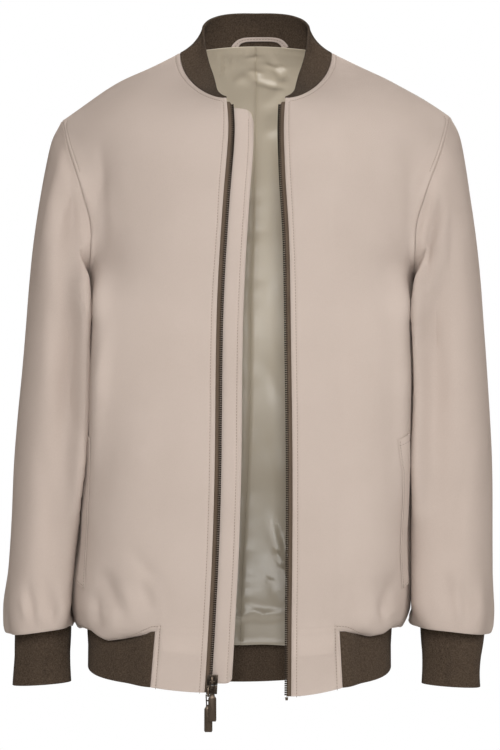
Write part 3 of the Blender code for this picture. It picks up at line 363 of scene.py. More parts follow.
def sleeveRing(side, s, count):
    # from the outermost point over the front and round the inside
    rings, name = sleeveForm["rings"], side.capitalize()
    out = np.array([sideSign[side] * read(rings, "out" + name, s), -4.0, read(rings, "outZ", s)])
    inner = np.array([sideSign[side] * read(rings, "in" + name, s), -3.0, read(rings, "inZ", s)])
    middle, across = (out + inner) / 2, (out - inner) / 2
    front, back = read(rings, "frontY", s), read(rings, "backY", s)
    turn = np.linspace(0, 2 * math.pi, count, endpoint=False)
    inside = sleeveForm["inside"] * smoothStep(s, 0, 3) * smoothStep(-np.cos(turn), 0, 0.3)
    power = 1 / (read(rings, "square", s) + inside)
    cos, sin = (np.sign(v) * np.abs(v) ** power for v in (np.cos(turn), np.sin(turn)))
    points = middle + cos[:, None] * across
    points[:, 1] += np.where(sin > 0, sin * (front - middle[1]), -sin * (back - middle[1]))
    return points


def bodySide(side):  # the lines that the sleeve has to clear
    lines = []
    for s in np.linspace(5.6, 13, 40):
        front = frontLine(side, s)[bodyForm["curveSamples"] // 3 :]
        back = backLine(side, s)[: 2 * bodyForm["curveSamples"] // 3]
        lines.append(tuckIn(np.concatenate([front, back[1:]]), s, 1.0))
    return lines


def keepClear(points, side, lines, hug, share):
    # a sleeve stays clear of the body, and its inner side lies along the body's side
    sign, clear, ease = sideSign[side], sleeveForm["clearOfBody"], sleeveForm["easeFrom"]
    heights = np.array([line[len(line) // 2, 2] for line in lines])
    reach = np.array([np.interp(points[:, 1], line[:, 1], sign * line[:, 0]) for line in lines])
    near = np.argsort(np.abs(heights[:, None] - points[None, :, 2]), axis=0)[:3]
    reach = np.take_along_axis(reach, near, axis=0).max(axis=0)
    gap = sign * points[:, 0] - reach - clear
    gap = np.where(gap > ease, gap, ease * np.exp((np.minimum(gap, ease) - ease) / ease))
    gap = gap - hug * gap * bell(gap, sleeveForm["hugWithin"])
    fade = sleeveForm["clearFade"]
    weight = share * smoothStep(heights[0] + fade - points[:, 2], 0, 1.3 * fade)
    moved = points.copy()
    moved[:, 0] += weight * (sign * (reach + clear + gap) - points[:, 0])
    return moved


def sleeveSurface(side, loop):
    count = len(loop)
    lines = bodySide(side)
    start = sleeveRing(side, 0, count)
    turn = np.linspace(0, 2 * math.pi, count, endpoint=False)
    even = np.linspace(*sleeveForm["evenRows"], sleeveForm["rows"])
    stations = np.concatenate([sleeveForm["firstRows"], even, sleeveForm["lastRows"]])
    rows = []
    for s in stations:
        ring = sleeveRing(side, s, count)
        left = 1 - smoothStep(s, 0, sleeveForm["armholeFade"])
        ring = ring + (loop - start) * left ** sleeveForm["armholeBend"]
        fromGathers = abs(s - sleeveForm["gatherAt"]) / sleeveForm["gatherReach"]
        gather = sleeveForm["gatherDepth"] * max(0.0, 1 - fromGathers)
        drift = sleeveForm["gatherDrift"] * np.sin(turn)
        wave = gather * np.cos(sleeveForm["gathers"] * turn + drift)
        outward = ring - ring.mean(axis=0)
        outward[:, 2] = 0
        ring = ring + unit(outward) * wave[:, None]
        hug = sleeveForm["hug"] * (1 - smoothStep(s, *sleeveForm["hugEnds"]))
        rows.append(keepClear(ring, side, lines, hug, min(1.0, s / sleeveForm["clearFrom"])))
    return np.array(rows)


def cuffSurface(side, topRing, rows):
    foot = np.array(cuffForm["foot"][side])
    turn = np.linspace(0, 2 * math.pi, len(topRing), endpoint=False)
    made = []
    for t in np.linspace(0, 1, rows):
        spread = np.interp(t, (0, 0.5, 1), cuffForm["spread"])
        ring = np.zeros_like(topRing)
        ring[:, 0] = foot[0] + sideSign[side] * np.cos(turn) * (cuffForm["half"][0] + spread)
        ring[:, 1] = foot[1] - np.sin(turn) * (cuffForm["half"][1] + spread)
        ring[:, 2] = topRing[:, 2] * (1 - t) + (foot[2] - cuffForm["footTilt"] * np.cos(turn)) * t
        blend = float(smoothStep(t, 0, cuffForm["blendEnd"]))
        ring[:, :2] = topRing[:, :2] * (1 - blend) + ring[:, :2] * blend
        made.append(ring)
    return np.array(made)


collarForm = {
    "band": table(
        "station rise lean bow",
        (0.00, 1.2, 0.89, 0.0),
        (0.07, 13.8, 0.91, 0.0),
        (0.14, 24.6, 0.92, 0.0),
        (0.24, 31.0, 0.83, -0.03),
        (0.38, 33.5, 0.78, -0.12),
        (0.50, 35.4, 0.71, -0.24),
        (0.62, 37.0, 0.57, -0.10),
        (0.74, 37.5, 0.40, 0.03),
        (0.86, 37.5, 0.26, 0.07),
        (1.00, 36.6, 0.25, 0.10),
    ),
    "middleY": 14.0,
}


def collarSurface(seam, rows):
    length = lineLength(seam)
    place = np.minimum(length, length[-1] - length) / length[-1] * 2
    band = collarForm["band"]
    rise, lean, bow = (read(band, column, place) for column in ("rise", "lean", "bow"))
    inward = unit(np.stack([-seam[:, 0], collarForm["middleY"] - seam[:, 1], 0 * place], axis=1))
    made = []
    for t in np.linspace(0, 1, rows):
        row = seam + inward * (rise * (lean * t - bow * math.sin(math.pi * t)))[:, None]
        row[:, 2] += rise * np.sqrt(1 - lean**2) * t
        made.append(row)
    return np.array(made)


# Cloth as walls round a middle surface


def surfaceNormals(points, wrap, flip):
    if wrap:
        points = np.concatenate([points[:, -1:], points, points[:, :1]], axis=1)
    n = unit(np.cross(np.gradient(points, axis=0), np.gradient(points, axis=1)))
    if wrap:
        n = n[:, 1:-1]
    return -n if flip else n


class Cloth:
    def __init__(self, name, points, flip=False, wrap=False, used=None):
        self.name, self.flip, self.wrap = name, flip, wrap
        self.points = np.array(points, float)
        rows, columns = self.points.shape[:2]
        whole = np.ones((rows - 1, columns if wrap else columns - 1), bool)
        self.used = whole if used is None else used
        self.relief = np.zeros((rows, columns))
        self.faceOut()

    def faceOut(self):
        self.normals = surfaceNormals(self.points, self.wrap, self.flip)

    def push(self, distance):  # moves the cloth out along its normals
        self.points = self.points + self.normals * distance[..., None]

    def cells(self):
        r, c = np.nonzero(self.used)
        columns = self.points.shape[1]
        d = (c + 1) % columns
        corners = (r * columns + c, (r + 1) * columns + c, (r + 1) * columns + d, r * columns + d)
        quad = np.stack(corners, 1)
        return quad[:, ::-1] if self.flip else quad

    def rim(self):
        quad = self.cells()
        edges = np.concatenate([quad[:, [k, (k + 1) % 4]] for k in range(4)])
        count = self.points.shape[0] * self.points.shape[1]
        key = edges[:, 0] * count + edges[:, 1]
        back = edges[:, 1] * count + edges[:, 0]
        return edges[~np.isin(key, back)]

    def lengths(self):  # distances across and down the cloth, for its weave
        step = np.linalg.norm(np.diff(self.points, axis=1), axis=2).mean(axis=0)
        drop = np.linalg.norm(np.diff(self.points, axis=0), axis=2).mean(axis=1)
        across, down = (np.concatenate([[0], np.cumsum(d)]) for d in (step, drop))
        return np.stack(np.meshgrid(across, down), axis=-1).reshape(-1, 2)

    def area(self):
        quads, p = self.cells(), self.points.reshape(-1, 3)
        diagonals = np.cross(p[quads[:, 2]] - p[quads[:, 0]], p[quads[:, 3]] - p[quads[:, 1]])
        return float(np.linalg.norm(diagonals, axis=1).sum() / 2) * mm * mm


def shareNormals(cloths, reach=0.05):
    # pieces that meet at a seam get the mean of their normals there
    keys, places = [], []
    for k, piece in enumerate(cloths):
        rim = np.unique(piece.rim())
        keys.append(np.round(piece.points.reshape(-1, 3)[rim] / reach).astype(np.int64))
        places.append(np.stack([np.full(len(rim), k), rim], 1))
    keys, places = np.concatenate(keys), np.concatenate(places)
    group = np.unique(keys, axis=0, return_inverse=True)[1].reshape(-1)
    total = np.zeros((group.max() + 1, 3))
    np.add.at(total, group, np.array([cloths[k].normals.reshape(-1, 3)[i] for k, i in places]))
    total = unit(total)
    for (k, i), g in zip(places, group):
        cloths[k].normals.reshape(-1, 3)[i] = total[g]


def addObject(name, data):
    obj = bpy.data.objects.new(name, data)
    bpy.context.scene.collection.objects.link(obj)
    return obj


def smoothMesh(mesh, sharp):
    mesh.shade_smooth()
    mesh.set_sharp_from_angle(angle=math.radians(sharp))


wallForm = {"gap": 0.3, "edgeRound": 0.5, "sharp": 38}


def clothWall(piece, materials, out, into=None, lined=False, gap=None, rounding=None):
    # a closed wall: outer face, inner face, and a rounded edge all round
    gap = wallForm["gap"] / 2 if gap is None else gap
    rounding = wallForm["edgeRound"] if rounding is None else rounding
    points, normals = piece.points.reshape(-1, 3), piece.normals.reshape(-1, 3)
    rim, quads, shape = piece.rim(), piece.cells(), piece.points.shape[:2]
    side = np.zeros_like(points)
    tally = np.zeros(len(points))
    direction = unit(points[rim[:, 1]] - points[rim[:, 0]])
    for k in (0, 1):
        np.add.at(side, rim[:, k], unit(np.cross(normals[rim[:, k]], direction)))
        np.add.at(tally, rim[:, k], 1)
    spread = np.ones(len(points))
    double = tally == 2
    spread[double] = np.maximum((side[double] ** 2).sum(axis=1) / 2, 0.5)
    side = side / spread[:, None]
    outDepth = np.broadcast_to(out, shape).reshape(-1) + piece.relief.reshape(-1)
    inDepth = np.broadcast_to(out if into is None else into, shape).reshape(-1)
    levels = [(outDepth, rounding), (-inDepth, rounding)]
    levels += [(outDepth - rounding, 0), (rounding - inDepth, 0)]
    outer, inner, shoulder, heel = (
        points + normals * depth[:, None] + side * (gap + more) for depth, more in levels
    )
    used, edge = np.unique(quads), np.unique(rim)
    n, m = len(used), len(edge)
    index, edgeIndex = (-np.ones(len(points), np.int64) for k in range(2))
    index[used] = np.arange(n)
    edgeIndex[edge] = np.arange(m)
    a, b = rim[:, 0], rim[:, 1]
    o, i, s, h = index, index + n, edgeIndex + 2 * n, edgeIndex + 2 * n + m
    faces = [o[quads], i[quads[:, ::-1]]]
    for first, second in ((o, s), (s, h), (h, i)):
        faces.append(np.stack([first[b], first[a], second[a], second[b]], 1))
    kinds = np.zeros(2 * len(quads) + 3 * len(rim), np.int32)
    lined = np.broadcast_to(lined, shape).reshape(-1)
    kinds[len(quads) : 2 * len(quads)] = lined[quads].all(axis=1)
    vertices = np.concatenate([outer[used], inner[used], shoulder[edge], heel[edge]])
    places = piece.lengths()
    places = np.concatenate([places[used], places[used], places[edge], places[edge]])
    mesh = bpy.data.meshes.new(piece.name)
    mesh.from_pydata((vertices * mm).tolist(), [], np.concatenate(faces).tolist())
    mesh.validate()
    corner = np.zeros(len(mesh.loops), np.int32)
    mesh.loops.foreach_get("vertex_index", corner)
    layer = mesh.uv_layers.new(name="cloth")
    layer.data.foreach_set("uv", (places[corner] * mm).astype(np.float32).ravel())
    for material in materials:
        mesh.materials.append(material)
    mesh.polygons.foreach_set("material_index", kinds)
    smoothMesh(mesh, wallForm["sharp"])
    return addObject(piece.name, mesh)


def pathDistance(points, path):
    # distance in x and z from points to a path, and the share of the path that is nearest
    path = np.reshape(path, (-1, 2)).astype(float)
    flat = points[..., [0, 2]]
    best = np.full(points.shape[:-1], 1e9)
    share = np.zeros(points.shape[:-1])
    for i in range(len(path) - 1):
        a, b = path[i], path[i + 1]
        t = np.clip(((flat - a) @ (b - a)) / ((b - a) @ (b - a)), 0, 1)
        d = np.linalg.norm(flat - a - t[..., None] * (b - a), axis=-1)
        nearer = d < best
        best = np.where(nearer, d, best)
        share = np.where(nearer, (i + t) / (len(path) - 1), share)
    return best, share


foldEnd = 0.06  # a fold starts and ends at this share of its full wave


def crease(piece, tables, fade):
    # lays the folds of each table on a piece, those of a face only where the cloth faces that way
    depth = np.zeros(piece.points.shape[:2])
    for folds in tables:
        for face, rows in folds.items():
            facing = piece.normals[..., 1] * (-1 if face == "front" else 1)
            for width, height, *path in rows:
                d, share = pathDistance(piece.points, path)
                ends = np.sin(np.pi * np.clip(foldEnd + (1 - 2 * foldEnd) * share, 0, 1))
                depth += height * ends * bell(d, width) * smoothStep(facing, 0.0, 0.5)
    piece.push(depth * fade)


def ripple(piece, amount, scale, seed, fade=1.0, waves=14):
    # slow unevenness of hanging cloth, longer down than across
    rng = np.random.default_rng(seed)
    total = np.zeros(piece.points.shape[:2])
    for k in range(waves):
        way = rng.normal(size=3) * (1.0, 1.0, 0.45)
        wave = way / np.linalg.norm(way) * 2 * math.pi / (scale * rng.uniform(0.6, 1.9))
        total += np.sin(piece.points @ wave + rng.uniform(0, 6.3)) * rng.uniform(0.4, 1.0)
    piece.push(amount * total / 4 * fade)


# Materials

# the spans of noise, and of the edges' sharpness, that take a colour from one end to the other
spans = {"broad": (0.35, 0.65), "fibres": (0.3, 0.7), "edges": (0.50, 0.62)}


def addNode(tree, kind, inputs=None, **settings):
    node = tree.nodes.new(kind)
    for name, value in settings.items():
        setattr(node, name, value)
    for name, value in (inputs or {}).items():
        socket = node.inputs[name]
        if isinstance(value, bpy.types.NodeSocket):
            tree.links.new(value, socket)
        else:
            socket.default_value = value
    return node


def newMaterial(name, look):
    material = bpy.data.materials.new(name)
    material.use_nodes = True
    tree = material.node_tree
    shader = tree.nodes["Principled BSDF"]
    for socket, value in look["surface"].items():
        shader.inputs[socket].default_value = value
    place = addNode(tree, "ShaderNodeTexCoord").outputs["Object"]
    return material, tree, shader, place


def mathNode(tree, operation, *values):
    return addNode(tree, "ShaderNodeMath", dict(enumerate(values)), operation=operation).outputs[0]


def mapRange(tree, value, low, high, toLow=0.0, toHigh=1.0):
    sockets = ("Value", "From Min", "From Max", "To Min", "To Max")
    values = dict(zip(sockets, (value, low, high, toLow, toHigh)))
    return addNode(tree, "ShaderNodeMapRange", values).outputs["Result"]


def noise(tree, place, scale, detail):
    values = {"Vector": place, "Scale": scale, "Detail": detail}
    return addNode(tree, "ShaderNodeTexNoise", values).outputs["Fac"]


def mixColours(tree, factor, first, second):
    mix = addNode(tree, "ShaderNodeMix", {0: factor}, data_type="RGBA")
    for place, value in ((6, first), (7, second)):
        if isinstance(value, bpy.types.NodeSocket):
            tree.links.new(value, mix.inputs[place])
        else:
            mix.inputs[place].default_value = (*value, 1)
    return mix.outputs[2]


def finishSurface(tree, shader, colour, height, relief):
    values = {"Height": height, "Strength": 1.0, "Distance": relief * mm}
    bump = addNode(tree, "ShaderNodeBump", values)
    tree.links.new(colour, shader.inputs["Base Color"])
    tree.links.new(bump.outputs["Normal"], shader.inputs["Normal"])


def fabricMaterial(name, look):
    # mottled yarn colour, a woven or knitted relief that follows the cloth, and fine fibres; where
    # asked, painted shade towards the cloth's foot
    material, tree, shader, place = newMaterial(name, look)
    cloth = addNode(tree, "ShaderNodeUVMap", uv_map="cloth").outputs["UV"]
    broad = noise(tree, place, look["broadScale"], 3.0)
    fibres = noise(tree, place, look["fibreScale"], 2.0)
    broadTone = mapRange(tree, broad, *spans["broad"])
    base = mixColours(tree, broadTone, look["colour"], look["otherColour"])
    fibreTone = mapRange(tree, fibres, *spans["fibres"], 0.0, look["fibreMix"])
    colour = mixColours(tree, fibreTone, base, look["fibreColour"])
    if "foot" in look:  # painted shade: the colour darkens towards the cloth's foot, in place of the lesser light there
        low, high, shadeShare = look["foot"]
        level = addNode(tree, "ShaderNodeSeparateXYZ", {"Vector": place}).outputs["Z"]
        paintedShadeColour = tuple(shadeShare * c for c in look["colour"])
        colour = mixColours(tree, mapRange(tree, level, high, low), colour, paintedShadeColour)
    parts = addNode(tree, "ShaderNodeSeparateXYZ", {"Vector": cloth}).outputs
    height = None
    for across, down in look["threads"]:
        turn = mathNode(tree, "MULTIPLY", parts["X"], 2 * math.pi / (across * mm))
        turn = mathNode(tree, "MULTIPLY_ADD", parts["Y"], 2 * math.pi / (down * mm), turn)
        wave = mathNode(tree, "SINE", turn)
        height = wave if height is None else mathNode(tree, "ADD", height, wave)
    height = mathNode(tree, "MULTIPLY_ADD", fibres, look["fibreHeight"], height)
    finishSurface(tree, shader, colour, height, look["relief"])
    return material


def hardMaterial(name, look):
    # cast or plated metal: uneven tone and gloss, worn lighter on its edges
    material, tree, shader, place = newMaterial(name, look)
    grain = noise(tree, place, look["grainScale"], 4.0)
    edges = addNode(tree, "ShaderNodeNewGeometry").outputs["Pointiness"]
    base = mixColours(tree, grain, look["colour"], look["otherColour"])
    worn = mapRange(tree, edges, *spans["edges"])
    colour = mixColours(tree, worn, base, look["wornColour"])
    gloss = mapRange(tree, grain, 0.0, 1.0, look["roughLow"], look["roughHigh"])
    tree.links.new(gloss, shader.inputs["Roughness"])
    finishSurface(tree, shader, colour, grain, look["relief"])
    return material


beigeWool = {
    "colour": (0.524, 0.438, 0.386),
    "otherColour": (0.502, 0.418, 0.366),
    "fibreColour": (0.585, 0.495, 0.44),
    "fibreMix": 0.35,
    "broadScale": 14.0,
    "fibreScale": 1400.0,
    "fibreHeight": 1.6,
    "threads": ((0.75, 0.75), (0.75, -0.75)),
    "relief": 0.05,
    "surface": {
        "Roughness": 0.95,
        "Sheen Weight": 0.08,
        "Sheen Roughness": 0.5,
        "Sheen Tint": (0.80, 0.64, 0.54, 1.0),
        "Specular IOR Level": 0.12,
    },
}
# painted shade: the sleeves' copy of the same wool, a little darker, in place of the sleeves' shading
paintedShadeWool = dict(beigeWool, colour=(0.503, 0.416, 0.364), otherColour=(0.480, 0.396, 0.345))
brownRib = {
    "colour": (0.050, 0.0335, 0.0215),
    "otherColour": (0.041, 0.027, 0.017),
    "fibreColour": (0.108, 0.076, 0.052),
    "fibreMix": 1.0,
    "broadScale": 30.0,
    "fibreScale": 700.0,
    "fibreHeight": 1.0,
    "threads": ((0.75, 1.3), (0.75, -1.3)),
    "relief": 0.10,
    "surface": {
        "Roughness": 0.95,
        "Sheen Weight": 0.04,
        "Sheen Roughness": 0.6,
        "Specular IOR Level": 0.10,
    },
}
sageSatin = {
    "colour": (0.620, 0.540, 0.420),
    "otherColour": (0.590, 0.510, 0.392),
    "fibreColour": (0.66, 0.58, 0.455),
    "fibreMix": 0.2,
    "broadScale": 10.0,
    "fibreScale": 900.0,
    "fibreHeight": 0.5,
    "threads": ((0.35, 6.0),),
    "relief": 0.012,
    "foot": (-0.56, -0.28, 0.48),  # painted shade: between these heights the colour darkens to this share
    "surface": {
        "Roughness": 0.33,
        "Sheen Weight": 0.08,
        "Sheen Roughness": 0.3,
        "Specular IOR Level": 0.7,
    },
}
brownTape = {
    "colour": (0.120, 0.086, 0.061),
    "otherColour": (0.098, 0.069, 0.048),
    "fibreColour": (0.160, 0.118, 0.086),
    "fibreMix": 0.4,
    "broadScale": 40.0,
    "fibreScale": 1800.0,
    "fibreHeight": 0.8,
    "threads": ((1.2, 1.2), (1.2, -1.2)),
    "relief": 0.08,
    "surface": {"Roughness": 0.9, "Sheen Weight": 0.03, "Specular IOR Level": 0.12},
}
# the thread's own colour, darkened further with painted shade for the shadow in the stitching's
# groove
threadWithGrooveShade = {
    "colour": (0.25, 0.195, 0.158),
    "otherColour": (0.23, 0.178, 0.143),
    "fibreColour": (0.30, 0.24, 0.195),
    "fibreMix": 0.4,
    "broadScale": 60.0,
    "fibreScale": 3000.0,
    "fibreHeight": 1.0,
    "threads": ((0.4, 0.4),),
    "relief": 0.02,
    "surface": {"Roughness": 0.7, "Specular IOR Level": 0.4},
}
gunmetal = {
    "colour": (0.014, 0.010, 0.007),
    "otherColour": (0.026, 0.019, 0.013),
    "wornColour": (0.16, 0.12, 0.088),
    "grainScale": 900.0,
    "roughLow": 0.28,
    "roughHigh": 0.45,
    "relief": 0.01,
    "surface": {"Metallic": 0.85},
}
darkTooth = dict(
    gunmetal,
    colour=(0.007, 0.005, 0.004),
    otherColour=(0.012, 0.009, 0.006),
    wornColour=(0.03, 0.022, 0.016),
    roughLow=0.55,
    roughHigh=0.7,
    surface={"Metallic": 0.0, "Specular IOR Level": 0.08},
)
wool = fabricMaterial("beige_wool", beigeWool)
# the sleeves' wool carries painted shade
paintedShadeSleeveWool = fabricMaterial("beige_wool_sleeve_painted_shade", paintedShadeWool)
ribKnit = fabricMaterial("brown_rib_knit", brownRib)
satin = fabricMaterial("sage_satin", sageSatin)
tapeCloth = fabricMaterial("brown_tape", brownTape)
# the stitching's thread carries painted groove shade
grooveShadedThread = fabricMaterial("beige_thread_groove_shade", threadWithGrooveShade)
darkMetal = hardMaterial("dark_gunmetal", gunmetal)
toothMetal = hardMaterial("dark_teeth", darkTooth)
print("materials made:", len(bpy.data.materials))


# Geometry Nodes trees for what repeats


def newTree(name, sizes):
    tree = bpy.data.node_groups.new(name, "GeometryNodeTree")
    tree.interface.new_socket("Geometry", in_out="INPUT", socket_type="NodeSocketGeometry")
    for size, value in sizes.items():
        socket = tree.interface.new_socket(size, in_out="INPUT", socket_type="NodeSocketFloat")
        socket.default_value = value
    tree.interface.new_socket("Material", in_out="INPUT", socket_type="NodeSocketMaterial")
    tree.interface.new_socket("Geometry", in_out="OUTPUT", socket_type="NodeSocketGeometry")
    return tree, addNode(tree, "NodeGroupInput").outputs


def finishTree(tree, given, geometry):
    real = addNode(tree, "GeometryNodeRealizeInstances", {"Geometry": geometry}).outputs[0]
    values = {"Geometry": real, "Material": given["Material"]}
    painted = addNode(tree, "GeometryNodeSetMaterial", values).outputs[0]
    addNode(tree, "NodeGroupOutput", {0: painted})
    return tree


def keepResult(obj):
    # keeps what the object's modifiers give as its plain mesh
    graph = bpy.context.evaluated_depsgraph_get()
    mesh = bpy.data.meshes.new_from_object(obj.evaluated_get(graph))
    obj.modifiers.clear()
    obj.data = mesh
    return obj


def runTree(obj, tree, material, sizes):
    modifier = obj.modifiers.new(tree.name, "NODES")
    modifier.node_group = tree
    values = {name: size * mm for name, size in sizes.items()}
    values["Material"] = material
    for item in tree.interface.items_tree:
        if item.in_out == "INPUT" and item.name in values:
            modifier[item.identifier] = values[item.name]
    return keepResult(obj)


def attributeNode(tree, name, kind="FLOAT_VECTOR"):
    node = addNode(tree, "GeometryNodeInputNamedAttribute", {"Name": name}, data_type=kind)
    return node.outputs["Attribute"]


def repeatOnPath(tree, given, shape):
    # copies of a shape along a path, turned to it and to the cloth that it lies on
    curve = addNode(tree, "GeometryNodeMeshToCurve", {"Mesh": given["Geometry"]}).outputs[0]
    values = {"Curve": curve, "Length": given["Pitch"]}
    spaced = addNode(tree, "GeometryNodeResampleCurve", values, mode="LENGTH").outputs[0]
    values = {
        "Primary Axis": addNode(tree, "GeometryNodeInputTangent").outputs[0],
        "Secondary Axis": attributeNode(tree, "facing"),
    }
    axes = {"primary_axis": "X", "secondary_axis": "Z"}
    turn = addNode(tree, "FunctionNodeAxesToRotation", values, **axes).outputs[0]
    values = {"Points": spaced, "Instance": shape, "Rotation": turn}
    return addNode(tree, "GeometryNodeInstanceOnPoints", values).outputs[0]


def vectorNode(tree, *parts):
    return addNode(tree, "ShaderNodeCombineXYZ", dict(zip("XYZ", parts))).outputs[0]


# Shares of each copy's own size: how flat a stitch is, and a tooth's head and its place.
copyForm = {"flat": 0.8, "head": (1.5, 0.42, 0.72), "headPast": 0.36}


def stitchTree():
    sizes = {"Pitch": 0.0031, "Stitch Half": 0.00125, "Thread Half": 0.00028}
    tree, given = newTree("stitches", sizes)
    bead = addNode(tree, "GeometryNodeMeshUVSphere", {"Segments": 6, "Rings": 4, "Radius": 1.0})
    flat = mathNode(tree, "MULTIPLY", given["Thread Half"], copyForm["flat"])
    size = vectorNode(tree, given["Stitch Half"], given["Thread Half"], flat)
    stitch = addNode(tree, "GeometryNodeTransform", {"Geometry": bead.outputs[0], "Scale": size})
    return finishTree(tree, given, repeatOnPath(tree, given, stitch.outputs[0]))


def toothTree():
    # a block in the tape's cord, with a wider head past it
    sizes = {"Pitch": 0.0023, "Tooth Along": 0.0012, "Tooth Across": 0.0034, "Tooth Deep": 0.0026}
    tree, given = newTree("zipTeeth", sizes)
    size = [given["Tooth " + way] for way in ("Along", "Across", "Deep")]
    shares = zip(size, copyForm["head"])
    headSize = [mathNode(tree, "MULTIPLY", v, share) for v, share in shares]
    body, head = (
        addNode(tree, "GeometryNodeMeshCube", {"Size": vectorNode(tree, *v)}).outputs[0]
        for v in (size, headSize)
    )
    past = mathNode(tree, "MULTIPLY", given["Tooth Across"], copyForm["headPast"])
    past = vectorNode(tree, 0.0, past, 0.0)
    moved = addNode(tree, "GeometryNodeTransform", {"Geometry": head, "Translation": past})
    tooth = addNode(tree, "GeometryNodeJoinGeometry")
    for part in (body, moved.outputs[0]):
        tree.links.new(part, tooth.inputs[0])
    return finishTree(tree, given, repeatOnPath(tree, given, tooth.outputs[0]))


def waleTree():
    # raises the knit's wales on a band: "around" is the way along it, "waleOut" the way they rise
    tree, given = newTree("wales", {"Pitch": 0.0015, "Raise": 0.0003})
    turn = mathNode(tree, "DIVIDE", attributeNode(tree, "around", "FLOAT"), given["Pitch"])
    wave = mathNode(tree, "COSINE", mathNode(tree, "MULTIPLY", turn, 2 * math.pi))
    rise = mathNode(tree, "MULTIPLY", wave, given["Raise"])
    values = {0: attributeNode(tree, "waleOut"), "Scale": rise}
    offset = addNode(tree, "ShaderNodeVectorMath", values, operation="SCALE").outputs[0]
    values = {"Geometry": given["Geometry"], "Offset": offset}
    moved = addNode(tree, "GeometryNodeSetPosition", values).outputs[0]
    return finishTree(tree, given, moved)


stitches, teeth, wales = stitchTree(), toothTree(), waleTree()


def pathObject(name, paths):
    # paths are lists of points and the directions that they face
    points, facings, edges = [], [], []
    for line, facing in paths:
        start = len(points)
        points += (np.asarray(line, float) * mm).tolist()
        facings += np.asarray(facing, float).tolist()
        edges += [(start + k, start + k + 1) for k in range(len(line) - 1)]
    mesh = bpy.data.meshes.new(name)
    mesh.from_pydata(points, edges, [])
    attribute = mesh.attributes.new("facing", "FLOAT_VECTOR", "POINT")
    attribute.data.foreach_set("vector", np.array(facings, np.float32).ravel())
    return addObject(name, mesh)


# Surfaces of the sewn pieces

stations = stationRows()
seamRow = len(stations) - 1
shoulderRow = panelRows["shoulder"]
underarmRow = shoulderRow + panelRows["armhole"]
hemFoldRows = {"taken": 28, "below": 7, "least": 2.1, "blend": 6, "sideFade": 8}
hemStitchRow = seamRow - hemFoldRows["below"] - stitchStep


def hemRows(surface, sharedEnds):
    # rows of points at even distances above the shell's lowest fold, for its stitching
    count, below, least, blend, sideFade = hemFoldRows.values()
    moved = surface[::-1].copy()
    lines = [moved[: count + 1, c].copy() for c in range(surface.shape[1])]
    raw = np.array([lineLength(line)[np.argmin(line[:, 2])] for line in lines])
    window = 2 * blend + 1
    even = np.convolve(np.pad(raw, blend, mode="edge"), np.ones(window) / window, "valid")
    share = np.ones(len(raw))
    for end in sharedEnds:
        share *= smoothStep(np.abs(np.arange(len(raw)) - (end % len(raw))), 0, sideFade)
    folds = raw + (even - raw) * share
    for c, line in enumerate(lines):
        base = max(folds[c], least)
        toStitch = edgeSteps[stitchStep]
        edge = base + edgeSteps * (folds[c] + toStitch - base) / toStitch
        rest = np.linspace(edge[-1], lineLength(line)[-1], count - below - 4)[1:]
        at = np.concatenate([np.linspace(0, base, below + 1)[:-1], edge, rest])
        moved[: count + 1, c] = along(line, at)
    return moved[::-1]


def frontPanel(side):
    # the front with its tab, and how far the rib or the tab drops below the hem seam
    panel = hemRows(stitchRows(evenOut(frontSurface(side, stations))), [-1])
    seam, tab = panel[-1], tabColumn
    width = lineLength(seam)
    foot, corner = bodyForm["tabFoot"][side], bodyForm["tabCorner"][side]
    share = width[: tab + 1] / width[tab]
    drop = np.zeros_like(seam)
    drop[: tab + 1, 0] = foot[0] + (corner[0] - foot[0]) * share - seam[: tab + 1, 0]
    drop[: tab + 1, 1] = bodyForm["tabForward"]
    bend = share ** bodyForm["tabBend"]
    drop[: tab + 1, 2] = foot[1] + (corner[1] - foot[1]) * bend - seam[: tab + 1, 2]
    rest = (width[tab:] - width[tab]) / (width[-1] - width[tab])
    drop[tab:, :2] = drop[tab, :2] * (1 - rest)[:, None]
    bend = rest ** bodyForm["ribBend"]
    drop[tab:, 2] = drop[tab, 2] * (1 - bend) - bodyForm["ribDropSide"] * bend
    steps = np.linspace(0, 1, panelRows["tab"] + 1)[1:]
    return np.concatenate([panel, seam[None] + steps[:, None, None] * drop[None]]), drop


fronts, drops = {}, {}
for side in sides:
    fronts[side], drops[side] = frontPanel(side)
backPoints = hemRows(stitchRows(evenOut(backSurface(stations), True)), [0, -1])

# the hem's height above its even line at each distance x from the middle, and how that fades
hemWave = {
    "right": {-190: -6, -173: -3, -165: -4.5, -158: -10, -151: -13, -137: -10, -120: -5, -106: 0},
    "left": {92: 0, 104: -4, 116: -8, 126: -7, 133: -2, 142: -3, 160: -6},
    "reach": 52.0,
    "evenBelow": 3.0,
    "pastTab": 10.0,
    "pastSide": 45.0,
}


def sag(points, heights):
    up = rowDistance(points)
    up = up[-1][None] - up
    points[..., 2] += heights[None] * (1 - smoothStep(up, hemWave["evenBelow"], hemWave["reach"]))


def waveHem():
    # lowers each panel's foot, the same at the side seams, and shortens the rib's drop to match
    backHeights = np.zeros(backPoints.shape[1])
    for side, panel in fronts.items():
        across = columnDistance(panel)[seamRow]
        waves = hemWave[side]
        heights = np.interp(panel[seamRow, :, 0], list(waves), list(waves.values()))
        heights[: tabColumn + 1] = 0
        heights *= smoothStep(across - across[tabColumn], 0, hemWave["pastTab"])
        fromSide = columnDistance(backPoints)[seamRow]
        fromSide = np.abs(fromSide - (0 if side == "right" else fromSide[-1]))
        backHeights += heights[-1] * (1 - smoothStep(fromSide, 0, hemWave["pastSide"]))
        sag(panel[: seamRow + 1], heights)
        drops[side][:, 2] -= heights
    sag(backPoints, backHeights)
    return backHeights


